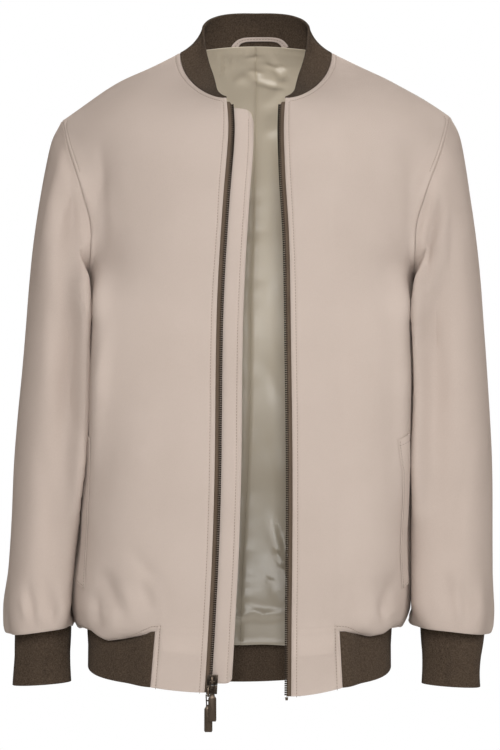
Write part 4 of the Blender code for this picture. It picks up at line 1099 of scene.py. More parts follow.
def smoothTab(panel, above=16, below=12, passes=260):
    # eases the bend where the tab runs on below the hem
    share = 1 - smoothStep(np.arange(tabColumn), tabColumn - 7, tabColumn - 1)
    part = panel[seamRow - above : seamRow + below, :tabColumn]
    for step in range(passes):
        part[1:-1] += 0.25 * share[None, :, None] * (part[2:] - 2 * part[1:-1] + part[:-2])


backHeights = waveHem()
cloth = {}
for side, panel in fronts.items():
    smoothTab(panel)
    used = np.ones((len(panel) - 1, panel.shape[1] - 1), bool)
    used[seamRow:, tabColumn:] = False
    cloth["front_" + side] = Cloth("front_" + side, panel, flip=side == "right", used=used)
backCloth = cloth["back"] = Cloth("back", backPoints, flip=True)
print("body panels:", len(stations), "rows")

ribForm = {
    "thick": 2.4,
    "rows": 15,
    "pitch": 1.5,
    "samples": 4,  # columns of points to each wale
    "raise": 0.30,
    "firstRaise": 0.3,  # the share of the wales' height in the row at the seam
    "edgeRaise": 0.4,
    "flare": (0, -1.5, -1.5),  # how much wider the hem's band is at its seam, middle and foot
    "flareWidth": 17.0,
    "middle": (-17.6, -2.0, 0.0),
}


def aroundHem(right, middle, left):
    # joins what belongs to the fronts and the back at the rib's seam
    return np.concatenate([right[tabColumn:], middle[1:], left[tabColumn:][::-1][1:]])


def hemRibPoints():
    seam = aroundHem(fronts["right"][seamRow], backPoints[-1], fronts["left"][seamRow])
    share = np.abs(np.linspace(-1, 1, backPoints.shape[1]))
    side, back = bodyForm["ribDropSide"], bodyForm["ribDropBack"]
    low = np.zeros((len(share), 3))
    low[:, 2] = -(back + (side - back) * share**2) - backHeights
    drop = aroundHem(drops["right"], low, drops["left"])
    outward = seam - np.array(ribForm["middle"])
    outward[:, 2] = 0
    length = lineLength(seam)
    clear = np.clip(np.minimum(length, length[-1] - length) / ribForm["flareWidth"], 0, 1)
    rows = []
    for t in np.linspace(0, 1, ribForm["rows"]):
        flare = np.interp(t, (0, 0.5, 1), ribForm["flare"])
        rows.append(seam + t * drop + unit(outward) * (flare * clear)[:, None])
    return np.array(rows)


cloth["hem_rib"] = Cloth("hem_rib", hemRibPoints(), flip=True)
for side in sides:
    armhole = slice(shoulderRow, underarmRow + 1)
    forward = fronts[side][armhole, -1]
    behind = backPoints[armhole, 0 if side == "right" else -1]
    points = sleeveSurface(side, np.concatenate([forward, behind[::-1][1:-1]]))
    cuff = cuffSurface(side, points[-1], ribForm["rows"])
    for name, grid in (("sleeve_" + side, points), ("cuff_" + side, cuff)):
        cloth[name] = Cloth(name, grid, flip=side == "left", wrap=True)
neckSeam = np.concatenate([fronts["right"][0], backPoints[0][1:], fronts["left"][0][::-1][1:]])
cloth["collar_rib"] = Cloth("collar_rib", collarSurface(neckSeam, ribForm["rows"]))
shareNormals(list(cloth.values()))
print("cloth surfaces:", ", ".join(cloth))

# Folds of each face: how wide and how deep, then x and z for each point of the path.
bodyFolds = {
    "front": (
        (17, -4, -164, -95, -162, -135, -161, -175),
        (17, -4, 167, -90, 166, -125, 163, -165),
        (20, 4, -146, -240, -145, -300, -153, -360, -160, -410),
        (20, 3, 130, -250, 133, -310, 140, -380),
        (14, -4, -150, -545, -168, -590),
        (14, -4, 128, -550, 146, -592),
    ),
    "back": (
        (18, -4.5, -150, -90, -146, -150, -150, -205),
        (18, -4.5, 150, -90, 146, -150, 144, -205),
        (16, -4, -120, -555, -100, -600),
        (16, -3.5, -40, -560, -45, -605),
        (16, -3.5, 45, -560, 35, -605),
        (16, -4, 110, -555, 90, -600),
    ),
}
sleeveFolds = {
    "front": (
        (15, 4, -204, -115, -215, -180, -220, -240, -226, -310),
        (13, -4.5, -196, -135, -192, -185, -193, -225),
        (14, -4.5, -203, -265, -201, -330, -192, -410),
        (15, -4.5, 206, -90, 207, -160, 203, -240, 194, -320, 188, -390),
    ),
    "back": (
        (16, -4, -200, -120, -212, -200, -215, -290),
        (16, -4, 200, -120, 211, -200, 213, -290),
        (18, -3.5, -222, -330, -235, -410),
        (18, -3.5, 215, -330, 228, -410),
    ),
}
fineBodyFolds = {
    "front": (
        (6, -1.6, -163, -135, -160, -175, -158, -205),
        (6, -1.4, 164, -130, 160, -170, 158, -200),
        (6, -2.2, -164, -105, -163, -138, -171, -184),
        (7, 2.2, -148, -290, -154, -334, -158, -372),
        (8, -2, -132, -520, -112, -548, -100, -556),
        (7, -2.4, -160, -548, -150, -572, -140, -590),
        (7, -2.2, 150, -545, 138, -575, 128, -596),
        (7, -2.4, -120, -556, -108, -590),
        (6, 1.2, -138, -560, -126, -600),
        (4.5, -2.8, -170, -570, -166, -590, -163, -608),
        (9, 2.2, -150, -588, -148, -614),
        (5, 1.4, -178, -585, -174, -606),
        (4.5, -2.2, 130, -580, 133, -606),
        (8, 1.8, 114, -588, 117, -614),
        (5, -1, -92, -566, -88, -602),
        (5, -0.9, 62, -572, 66, -604),
        (6, -1.4, 98, -566, 104, -600),
        (5, 1, 120, -570, 128, -604),
        (6, -1.5, 150, -560, 158, -600),
        (12, 4, -156, -235, -157, -300, -162, -380, -168, -440),
        (13, 6, -160, -228, -160, -292),
        (13, 6, 148, -228, 149, -292),
        (12, 4, 146, -240, 149, -300, 154, -390, 160, -460),
    ),
    "back": (
        (6, -1.5, -150, -575, -146, -612),
        (6, -1.4, -80, -580, -72, -616),
        (6, -1.3, -10, -578, -6, -618),
        (6, -1.5, 68, -580, 74, -618),
        (6, -1.4, 132, -572, 140, -612),
        (12, -3, -150, -190, -100, -250, -60, -330),
        (11, 2.4, -146, -225, -108, -300, -84, -390),
        (12, -2.8, 142, -200, 92, -270, 56, -350),
        (11, 2.2, 138, -240, 104, -320, 88, -400),
        (14, -2, -60, -420, -20, -450, 30, -440),
        (10, 2.2, -96, -480, -110, -540, -116, -590),
        (10, 2.4, 84, -470, 98, -535, 104, -590),
    ),
}
fineSleeveFolds = {
    "front": (
        (6, 1.6, -201, -96, -207, -118, -210, -143, -214, -173, -218, -210),
        (5, -1.8, -193, -136, -189, -176, -188, -216),
        (6, -1.8, -201, -265, -197, -325, -192, -373, -186, -403, -182, -417),
        (5, -1.2, -176, -202, -174, -230),
        (6, -1.6, 195, -143, 186, -176, 179, -196, 172, -230),
        (5, -1.3, 190, -202, 184, -236, 178, -260),
        (5, 2, 182, -150, 168, -230),
        (5, -2, 190, -150, 178, -225, 170, -280),
        (5.5, 2.4, 203, -160, 186, -227, 178, -290),
        (5.5, -2.4, 206, -200, 192, -262, 186, -330),
        (4.5, 1.6, 198, -200, 193, -284, 196, -340),
        (6, -2.4, 178, -262, 168, -350, 165, -420),
        (7, -2.4, -203, -95, -224, -156, -238, -262),
        (5, 2.2, -207, -250, -201, -340),
        (6, -2.6, -190, -270, -189, -350),
        (5, 1.8, -186, -150, -184, -215),
        (10, 2.4, -208, -190, -213, -296, -218, -402),
        (9, -2.6, -192, -264, -195, -370, -201, -476),
        (9, -2, -226, -420, -214, -500, -206, -560),
        (10, 2.4, 195, -190, 203, -296, 208, -402),
        (9, -2.6, 179, -264, 185, -370, 191, -476),
        (9, -2, 222, -400, 212, -480, 200, -556),
        (13, 5, -181, -225, -180, -300, -178, -400, -186, -480),
        (12, 5, -180, -232, -179, -290),
        (12, 5, 166, -232, 165, -290),
        (13, 5, 166, -235, 165, -310, 164, -400, 172, -480),
        (4, 2.2, -246, -575, -240, -606),
        (4, 1.8, -230, -580, -226, -606),
        (4, -1.8, -214, -585, -212, -606),
        (4, 2, 211, -580, 213, -606),
        (4, -2, 228, -578, 230, -606),
        (4, 1.8, 243, -580, 245, -606),
        (4, 1.8, 190, -575, 194, -604),
        (5, -2.7, -240, -560, -232, -600),
        (6, -3.1, -222, -555, -214, -600),
        (5, 2.2, -206, -565, -203, -604),
        (6, -3.1, 200, -552, 206, -596),
        (5, -2.7, 218, -560, 222, -602),
        (5, 2, 236, -556, 236, -600),
    ),
    "back": (
        (6, -3.1, -232, -540, -226, -600),
        (5, -2.5, -208, -560, -212, -602),
        (6, -3.1, 226, -545, 220, -600),
        (5, -2.5, 202, -556, 208, -600),
        (7, -1.8, -236, -300, -214, -360, -206, -420),
        (7, -1.8, 232, -300, 212, -360, 204, -420),
    ),
}


# distances from the seams within which folds fade, and rows past the armhole's ends
fadeForm = {"sleeve": (16, 14), "body": (14, 16), "armhole": 15, "above": 8, "below": 11}


def foldFade(piece):
    # no fold moves a seam that carries another piece
    down = rowDistance(piece.points)
    first, last = fadeForm["sleeve" if piece.wrap else "body"]
    end = down[-1 if piece.wrap else seamRow][None]
    fade = smoothStep(down, 0, first) * smoothStep(end - down, 0, last)
    if piece.wrap:
        return fade
    across = columnDistance(piece.points)
    above, below = fadeForm["above"], fadeForm["below"]
    weight = np.zeros((len(down), 1))
    weight[shoulderRow : underarmRow + 1] = 1
    weight[underarmRow + 1 :][:below, 0] = np.linspace(1, 0, below + 2)[1:-1]
    weight[shoulderRow - above : shoulderRow, 0] = np.linspace(0, 1, above + 2)[1:-1]
    outer = [across[:, -1:] - across]
    for distance in [across] + outer if piece is backCloth else outer:
        fade *= 1 - weight * (1 - smoothStep(distance, 0, fadeForm["armhole"]))
    return fade


slowWaves = {"body": 0.55, "sleeve": 0.7, "scale": 95.0, "bodySeed": 4, "sleeveSeed": 7}
for name in ("front_right", "front_left", "back", "sleeve_right", "sleeve_left"):
    piece = cloth[name]
    kind = "sleeve" if piece.wrap else "body"
    folds = (sleeveFolds, fineSleeveFolds) if piece.wrap else (bodyFolds, fineBodyFolds)
    crease(piece, folds, foldFade(piece))
    ripple(piece, slowWaves[kind], slowWaves["scale"], slowWaves[kind + "Seed"], foldFade(piece))

# where each sleeve lies against the body, both come forward, so the hollow between stays shallow
hollow = {
    "right": (-174, -205, -175, -264, -174, -317, -175, -370, -179, -423, -184, -490),
    "left": (164, -205, 163, -300, 163, -420, 164, -490),
    "forward": 15.0,
    "width": 14.0,
    "depth": (-60, 15),
    "upperEnd": (190, 245),
    "lowerEnd": (440, 540),
}
for piece in cloth.values():
    for side in sides:
        away, share = pathDistance(piece.points, hollow[side])
        front = 1 - smoothStep(piece.points[..., 1], *hollow["depth"])
        below = -piece.points[..., 2]
        ends = smoothStep(below, *hollow["upperEnd"]) * (1 - smoothStep(below, *hollow["lowerEnd"]))
        bulge = bell(away, hollow["width"]) * front * ends
        piece.points[..., 1] -= hollow["forward"] * bulge
    piece.faceOut()
shareNormals(list(cloth.values()))
print("folds laid on the shell")

# Sewn edges: the cloth is puffed at an edge and drawn in along its stitching.
armholeStitchEnd = 3.55  # the station where the stitching along the front of an armhole ends
frontEnd = int(np.argmin(np.abs(stations - armholeStitchEnd)))
hemRelief = np.array([0, 0, 0, -0.45, 0.1, 0.2])[:, None]
hemBand = slice(hemStitchRow - stitchStep, hemStitchRow + stitchStep)
sleeveHead = np.array([-0.05, 0.2, 0.3, 0.1])[:, None]
for side in sides:
    relief = cloth["front_" + side].relief
    relief[:, :edgeCount] += edgeRelief
    relief[:edgeCount] += edgeRelief[:, None]
    relief[:edgeCount, :edgeCount] = np.minimum.outer(edgeRelief, edgeRelief)
    relief[hemBand, tabColumn - 3 :] += hemRelief
    relief[hemStitchRow:, tabColumn - 5 : tabColumn + 1] += edgeRelief[::-1]
    relief[shoulderRow : frontEnd + 1, -edgeCount:] += edgeRelief[::-1]
    cloth["sleeve_" + side].relief[: len(sleeveHead)] += sleeveHead
backCloth.relief[:edgeCount] += edgeRelief[:, None]
backCloth.relief[hemBand] += hemRelief
backCloth.relief[shoulderRow : underarmRow + 1, :edgeCount] += edgeRelief
backCloth.relief[shoulderRow : underarmRow + 1, -edgeCount:] += edgeRelief[::-1]

shellThick = bodyForm["clothThick"] / 2
facingWidth = 62.0
made = {}
for side in sides:
    panel, sleeve = cloth["front_" + side], cloth["sleeve_" + side]
    lined = columnDistance(panel.points) > facingWidth
    lined[seamRow:] = False
    made[panel.name] = clothWall(panel, (wool, satin), shellThick, lined=lined)
    made[sleeve.name] = clothWall(sleeve, (paintedShadeSleeveWool, satin), shellThick, lined=True)
made["back"] = clothWall(backCloth, (wool, satin), shellThick, lined=True)
print("shell walls made")


# Knitted ribs


def evenColumns(piece, spacing):
    points, normals = piece.points, piece.normals
    if piece.wrap:
        points, normals = (np.concatenate([v, v[:, :1]], axis=1) for v in (points, normals))
    length = lineLength(points[0])
    count = 4 * round(length[-1] / (4 * spacing))
    at = np.linspace(0, length[-1], count + 1)
    at = at[:-1] if piece.wrap else at

    def spread(grid):
        return np.array([np.stack([np.interp(at, length, v) for v in row.T], 1) for row in grid])

    fine = Cloth(piece.name, spread(points), piece.flip, piece.wrap)
    fine.normals = unit(spread(normals))
    return fine


def ribWall(piece):
    step = ribForm["pitch"] / ribForm["samples"]
    fine = evenColumns(piece, step)
    rows, columns = fine.points.shape[:2]
    obj = clothWall(fine, (ribKnit,), ribForm["thick"] / 2)
    edge = np.unique(fine.rim())
    rise = np.clip(ribForm["firstRaise"] + np.arange(rows) / 2, 0, 1)
    out = (fine.normals * rise[:, None, None]).reshape(-1, 3)
    way = np.tile(np.arange(columns) * step * mm, rows)
    whole = np.arange(rows * columns)
    order = np.concatenate([whole, whole, edge, edge])
    low = ribForm["edgeRaise"]
    turn = np.repeat([1, -1, low, -low], [len(whole), len(whole), len(edge), len(edge)])
    around = obj.data.attributes.new("around", "FLOAT", "POINT")
    around.data.foreach_set("value", way[order].astype(np.float32))
    waleOut = obj.data.attributes.new("waleOut", "FLOAT_VECTOR", "POINT")
    waleOut.data.foreach_set("vector", (out[order] * turn[:, None]).astype(np.float32).ravel())
    return runTree(obj, wales, ribKnit, {"Pitch": ribForm["pitch"], "Raise": ribForm["raise"]})


for name in ("collar_rib", "hem_rib", "cuff_right", "cuff_left"):
    made[name] = ribWall(cloth[name])
print("ribs knitted")


def dress(piece, material, out, into=None, **edges):
    cloth[piece.name] = piece
    made[piece.name] = clothWall(piece, (material,), out, into, **edges)


# Zip: tapes, teeth and the flap behind it
zipForm = {
    "top": -57.5,
    "corner": 3.2,
    # the tape's columns, from behind the front to its free edge
    "tapeAcross": (10.0, 6.0, 3.0, 0.0, -1.5, -2.6, -3.4, -4.9),
    "tapeThick": 0.9,
    "cord": 0.35,
    "cornerFade": 14,
    "tapeRows": 150,
    "chain": 5.0,
    "chainEnds": (3.5, 1.5),  # how far inside the tape's ends the teeth start and stop
    "chainStep": 2.0,
    "tooth": {"Pitch": 2.3, "Tooth Along": 1.1, "Tooth Across": 3.3, "Tooth Deep": 2.4},
}
guardForm = {
    "across": (18, 14, 10, 5, 0, -5, -10, -14, -18.5, -21.2, -22.1, -23, -24.9, -27.5),
    "relief": (0, 0, 0, 0, 0, 0, 0, 0, 0, 0, -0.4, 0.1, 0.25, -0.05),
    "top": -62.0,
    "foot": -664.0,
    "depth": -5.8,
    "thick": 1.6,
    "cornerTop": 10.5,
    "cornerFoot": 8.0,
    "fadeTop": 30,
    "fadeFoot": 20,
    "footShare": 0.6,
    "rows": (16, 130, 11),
    "seamLine": 5.4,
    "waves": (0.35, 70.0, 9),
}
tapeMiddle = -(shellThick + 0.3 + zipForm["tapeThick"] / 2)


def edgeFrames(piece):
    origin, normal = piece.points[:, 0], piece.normals[:, 0]
    into = unit(piece.points[:, 1] - origin)
    return origin, unit(into - normal * (into * normal).sum(axis=1)[:, None]), normal


def framesAt(frames, z):
    order = np.argsort(frames[0][:, 2])
    heights = frames[0][order, 2]
    z = np.atleast_1d(np.asarray(z, float))
    origin, into, normal = (
        np.stack([np.interp(z, heights, column) for column in v[order].T], axis=1) for v in frames
    )
    origin[:, 2] = z
    return origin, unit(into), unit(normal)


def besideEdge(frames, z, across, depth):
    # points at a distance across from the front edge and a depth behind the middle of its cloth
    origin, into, normal = framesAt(frames, z)
    across, depth = (np.broadcast_to(v, len(origin))[:, None] for v in (across, depth))
    return origin + into * across + normal * depth, normal


def cornerDrop(radius, fromEdge):
    # how far a rounded corner falls at a distance from the free edge
    return radius - np.sqrt(np.maximum(radius**2 - np.maximum(radius - fromEdge, 0) ** 2, 0))


frames = {side: edgeFrames(cloth["front_" + side]) for side in sides}
for side in sides:
    foot = frames[side][0][-1, 2]
    heights = np.linspace(zipForm["top"], foot, zipForm["tapeRows"])
    grid = []
    for across in zipForm["tapeAcross"]:
        cutDown = cornerDrop(zipForm["corner"], across - zipForm["tapeAcross"][-1])
        below = zipForm["top"] - heights
        levels = heights - cutDown * (1 - smoothStep(below, 0, zipForm["cornerFade"]))
        grid.append(besideEdge(frames[side], levels, across, tapeMiddle)[0])
    tape = Cloth("zip_tape_" + side, np.stack(grid, axis=1), flip=side == "left")
    tape.relief[:, -2:] = zipForm["cord"]  # the cord that the teeth grip
    dress(tape, tapeCloth, zipForm["tapeThick"] / 2, gap=0.0, rounding=0.35)


def guardLine(across, z, rise=0.0):
    return besideEdge(frames["right"], z, across, guardForm["depth"] + rise)


def guardCloth():
    across = np.array(guardForm["across"], float)
    fromEdge = across - across[-1]
    top, foot = guardForm["top"], guardForm["foot"]
    high, low = top - guardForm["fadeTop"], foot + guardForm["fadeFoot"]
    first, middle, last = guardForm["rows"]
    upper, lower = np.linspace(top, high, first)[:-1], np.linspace(low, foot, last)[1:]
    dropTop = cornerDrop(guardForm["cornerTop"], fromEdge)
    dropFoot = cornerDrop(guardForm["cornerFoot"], fromEdge)
    rows = []
    for z in np.concatenate([upper, np.linspace(high, low, middle), lower]):
        level = z - dropTop * (1 - smoothStep(top - z, 0, guardForm["fadeTop"]))
        share = guardForm["footShare"] * (1 - smoothStep(z - foot, 0, guardForm["fadeFoot"]))
        level += dropFoot * share
        rows.append(guardLine(across, level)[0])
    return Cloth("zip_guard", np.array(rows))


guard = guardCloth()
guard.relief += np.array(guardForm["relief"])
ripple(guard, *guardForm["waves"])
guard.faceOut()
dress(guard, wool, guardForm["thick"] / 2, gap=0.0, rounding=0.6)

for side in sides:
    (first, last), foot = zipForm["chainEnds"], frames[side][0][-1, 2]
    heights = np.arange(zipForm["top"] - first, foot + last, -zipForm["chainStep"])
    points, normals = besideEdge(frames[side], heights, -zipForm["chain"], tapeMiddle)
    if side == "left":
        points, normals = points[::-1], normals[::-1]
    chain = pathObject("zip_teeth_" + side, [(points, normals)])
    made[chain.name] = runTree(chain, teeth, toothMetal, zipForm["tooth"])
print("zip made")


# Linings


liningForm = {
    "neck": 4.6,  # how far it hangs inside the shell at its neck, its middle and its hem
    "deep": 8.0,
    "hem": 27.5,
    "hang": 41.0,
    "edge": 0.06,
    "thick": 1.0,
    "columns": 46,
    "upper": 40,
    "lower": 92,
    "hangRows": 16,
    "folds": (
        (2.25, 2.1, -34, 6, -33, -16),
        (1.8, -1.8, -40, 4, -38, -22),
        (1.95, 1.5, -26, 5, -26, -12),
        (1.95, 1.35, -16, 6, -17, -8),
        (4.5, -3.3, 14, 4, 26, -14, 36, -22),
        (3, -2.7, -6, -20, 14, -26, 34, -30),
        (6, -3.6, 8, -62, 22, -50, 38, -30),
        (9, -2.7, -30, -30, -18, -60, -10, -92),
        (4.5, 2.1, -4, -24, -14, -18, -24, -26),
        (6, 2.4, 12, -80, 30, -66),
        (2.25, 1.65, -10, 1, 6, 3),
        (2.4, 1.95, 8, -5, 24, -8, 38, -7),
        (2.4, 1.95, -8, -11, 9, -15),
        (3.75, -2.1, 38, -2, 26, -19, 12, -38),
        (4.5, 1.8, -36, -20, -26, -44, -22, -70),
        (5.25, 2.1, 20, -100, 28, -150, 24, -210),
        (5.25, -2.1, 30, -220, 22, -270, 30, -330),
        (4.5, 2.1, 14, -330, 26, -380),
        (3.375, -3, 14, -500, 24, -540, 34, -580),
        (3.75, 2.7, 22, -494, 34, -530, 42, -570),
        (3, -2.7, 10, -544, 18, -572, 30, -604),
        (4.5, -3.6, -10, -600, 8, -606, 30, -604),
        (3.75, -3, -30, -612, -6, -604),
        (6, -2.4, 18, -420, 30, -470),
        (5.25, 2.1, 12, -410, 20, -450),
        (12, -3, -110, -120, -80, -220, -60, -330),
        (12, -3, 100, -130, 70, -240, 60, -350),
        (9, -3, -90, -480, -70, -590),
        (9, -3, 88, -470, 74, -580),
    ),
    "puckers": (
        (-150, -168, -187, -212, -238, -262, -300, -345, -392)
        + (-418, -441, -455, -489, -512, -536, -548, -569, -586)
    ),
    "puckerDepth": 2.0,
    "puckerHeight": 5.0,
    "puckerReach": 9.0,
    "puckerSlope": 0.25,
    "seamRidge": 1.1,
    "ridgeHalf": 2.0,
    "gather": 0.35,
    "gatherWaves": (1.15, 1.3, 0.21),
    "deepens": (0.2, 1.4),  # the stations between which it goes from one depth to the next
    "leaves": (8.5, 11.0),
    "seamFade": (7, 8),
    "waves": (0.6, 40.0, 21),
}


def liningPoints():
    upper = np.linspace(0, 2, liningForm["upper"] + 1)[:-1]
    levels = np.concatenate([upper, np.linspace(2, 11, liningForm["lower"] + 1)])
    shares = np.linspace(liningForm["edge"], 1, liningForm["columns"] + 1)
    points = np.array([wholeBack(s, lambda total: shares * total) for s in levels])
    normals = surfaceNormals(points, False, True)
    neck, deep, hem = (liningForm[k] for k in ("neck", "deep", "hem"))
    for r, s in enumerate(levels):
        depth = neck + (deep - neck) * smoothStep(s, *liningForm["deepens"])
        depth = depth + (hem - deep) * smoothStep(s, *liningForm["leaves"])
        outward = normals[r].copy()
        outward[:, 2] *= smoothStep(s, 0.0, 0.3) * (1 - smoothStep(s, 9.0, 11.0))
        points[r] -= unit(outward) * depth
    turn = np.linspace(-2 * math.pi, 2 * math.pi, points.shape[1])
    foot = points[-1] + np.array([0.0, -2.0, -liningForm["hang"]])
    past = smoothStep(np.abs(turn), 0, 1.0)
    foot[:, 2] += 3.5 * np.cos(turn) * past + 2.0 * (1 - past)
    steps = 1 - (1 - np.linspace(0, 1, liningForm["hangRows"] + 1)[1:]) ** 1.25
    hanging = points[-1][None] + steps[:, None, None] * (foot - points[-1])[None]
    return np.concatenate([points, hanging])


lining = Cloth("lining", liningPoints(), flip=True)
down = rowDistance(lining.points)
up = down[-1][None] - down
first, last = liningForm["seamFade"]
fade = smoothStep(down, 0, first) * smoothStep(up, 0, last)
crease(lining, [{"back": liningForm["folds"]}], fade)
ripple(lining, *liningForm["waves"], fade)
middle = liningForm["columns"]
fromSeam = np.abs(lining.points[..., 0] - lining.points[:, middle, 0][:, None])
level = lining.points[..., 2] - liningForm["puckerSlope"] * fromSeam
pucker = 0
for k, z in enumerate(liningForm["puckers"]):
    pucker = pucker + bell(level - z, liningForm["puckerHeight"]) * (0.6 + 0.4 * math.sin(3.7 * k))
pucker = liningForm["puckerDepth"] * pucker * bell(fromSeam, liningForm["puckerReach"])
ridge = liningForm["seamRidge"] * bell(fromSeam, liningForm["ridgeHalf"])
lining.push((ridge - pucker) * fade)
x = lining.points[..., 0]
fine, drift, slow = liningForm["gatherWaves"]
gathers = np.sin(x * fine + drift * np.sin(x * slow))
ends = 1.5 * bell(down - 6.5, 5.0) + 0.8 * bell(up - 12, 8.0)
lining.push(liningForm["gather"] * gathers * ends * smoothStep(down, 0, 4))
lining.faceOut()
rolled = bell(up - 2.5, 2.6)
half = liningForm["thick"] / 2
behind = half + 0.5 * rolled - 0.35 * bell(down - 5.6, 0.9)
for side, cut in (("right", slice(0, middle + 1)), ("left", slice(middle, None))):
    piece = Cloth("lining_back_" + side, lining.points[:, cut], flip=True)
    piece.normals = lining.normals[:, cut]
    piece.relief = 0.4 * rolled[:, cut]
    dress(piece, satin, half, behind[:, cut], gap=0.05, rounding=0.3)
print("lining hung")

# Hanging loop and pocket welts
loopForm = {
    "middle": 4.3,
    "half": 28.0,
    "top": 21.7,
    "sag": 10.0,
    "sagShares": (0.12, 0.88),  # of the sag, along its whole length and towards its ends
    "behind": 2.7,
    "leans": (0.45, 0.08),  # how far it comes forward below the seam and above it
    "width": 4.8,
    "endWidth": 0.45,
    "thick": 1.2,
    "steps": 60,
    "relief": (-0.1, 0.05, 0.1, 0.0, -0.25, 0.0, 0.1, 0.05, -0.1),
}


def loopCloth():
    share = np.linspace(-1, 1, loopForm["steps"] + 1)
    slow, steep = loopForm["sagShares"]
    z = loopForm["top"] - loopForm["sag"] * (slow * share**2 + steep * share**6)
    path = np.stack([loopForm["middle"] + loopForm["half"] * share, 0 * share, z], axis=1)
    up = unit(np.cross(np.gradient(path, axis=0), [0.0, 1.0, 0.0]))
    wider = (1 + loopForm["endWidth"] * np.abs(share) ** 5)[:, None]
    seam = backPoints[0].T
    rows = []
    for a in np.linspace(-0.5, 0.5, len(loopForm["relief"])) * loopForm["width"]:
        row = path + up * a * wider
        seamY, seamZ = (np.interp(row[:, 0], seam[0], v) for v in seam[1:])
        above = row[:, 2] - seamZ
        row[:, 1] += seamY - loopForm["behind"]
        lean = loopForm["leans"]
        row[:, 1] += lean[0] * np.maximum(0, -above) - lean[1] * np.maximum(0, above)
        rows.append(row)
    return Cloth("hanger_loop", np.array(rows), flip=True)


loopPiece = loopCloth()
loopPiece.relief += np.array(loopForm["relief"])[:, None]
dress(loopPiece, wool, loopForm["thick"] / 2, gap=0.0, rounding=0.4)

weltForm = {
    "stations": (7.85, 10.35),
    "inner": {
        "right": ((-400, -172), (-454, -173), (-510, -175.5), (-570, -178.5)),
        "left": ((-408, 147), (-440, 151.5), (-478, 152), (-531, 149.5), (-566, 152)),
    },
    "width": 15.0,
    "slant": 5.5,
    "columns": 26,
    "rise": 1.35,
    "thin": 0.6,
    "thick": 1.5,
}


def panelPoint(panel, across, row, distance):
    # a point of a panel and its normal, between two rows and at a distance from the front edge
    low = min(int(row), len(panel.points) - 2)
    share = row - low
    point, normal = (
        sum(
            np.array([np.interp(distance, across[r], v) for v in grid[r].T]) * weight
            for r, weight in ((low, 1 - share), (low + 1, share))
        )
        for grid in (panel.points, panel.normals)
    )
    return point, unit(normal)


shares = np.linspace(0, 1, weltForm["columns"])
weltOut = weltForm["rise"] + weltForm["thin"] + (weltForm["thick"] - weltForm["thin"]) * shares
for side in sides:
    panel = cloth["front_" + side]
    first, last = np.interp(weltForm["stations"], stations, range(len(stations)))
    inner = np.array(weltForm["inner"][side], float)
    across = columnDistance(panel.points)
    found = []
    for row in np.linspace(first, last, 2 * int(last - first)):
        r = int(round(row))
        line = panel.points[r]
        turn = int(np.argmax(np.abs(line[:, 0])))
        edgeX = np.interp(-line[turn, 2], -inner[:, 0], inner[:, 1])
        fronting = slice(tabColumn, turn + 1)
        start = np.interp(abs(edgeX), np.abs(line[fronting, 0]), across[r, fronting])
        step = abs(panel.points[r + 1, turn, 2] - line[turn, 2])
        rows = row - weltForm["slant"] * shares / step
        ends = start + weltForm["width"] * shares
        found.append([panelPoint(panel, across, v, end) for v, end in zip(rows, ends)])
    found = np.array(found)
    welt = Cloth("pocket_welt_" + side, found[:, :, 0], flip=panel.flip)
    welt.normals = found[:, :, 1]
    dress(welt, wool, weltOut[None], -weltForm["rise"], gap=0.1, rounding=0.28)
print("loop and welts made")


# Metal: the sliders, their pulls and the pin keep their solids' form with worn, rounded edges.
metalForm = {"weld": 0.01, "edge": 0.22, "segments": 2, "edgeAngle": 40, "sharp": 35}
for name in ("slider_upper", "slider_lower", "pull_upper", "pull_lower", "zip_pin"):
    metal = addObject(name + "_metal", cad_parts[name].data.copy())
    metal.data.materials.clear()
    metal.data.materials.append(darkMetal)
    weld = metal.modifiers.new("weld", "WELD")
    weld.merge_threshold = metalForm["weld"] * mm
    bevel = metal.modifiers.new("bevel", "BEVEL")
    bevel.width, bevel.segments = metalForm["edge"] * mm, metalForm["segments"]
    bevel.limit_method, bevel.angle_limit = "ANGLE", math.radians(metalForm["edgeAngle"])
    made[name] = keepResult(metal)
    smoothMesh(metal.data, metalForm["sharp"])
print("metal made")


# Stitching


def clothLine(piece, rows, columns, out, rise=0.12):
    rows, columns = np.broadcast_arrays(rows, columns)
    normals = piece.normals[rows, columns]
    depth = out + piece.relief[rows, columns] + rise
    return piece.points[rows, columns] + normals * depth[:, None], normals


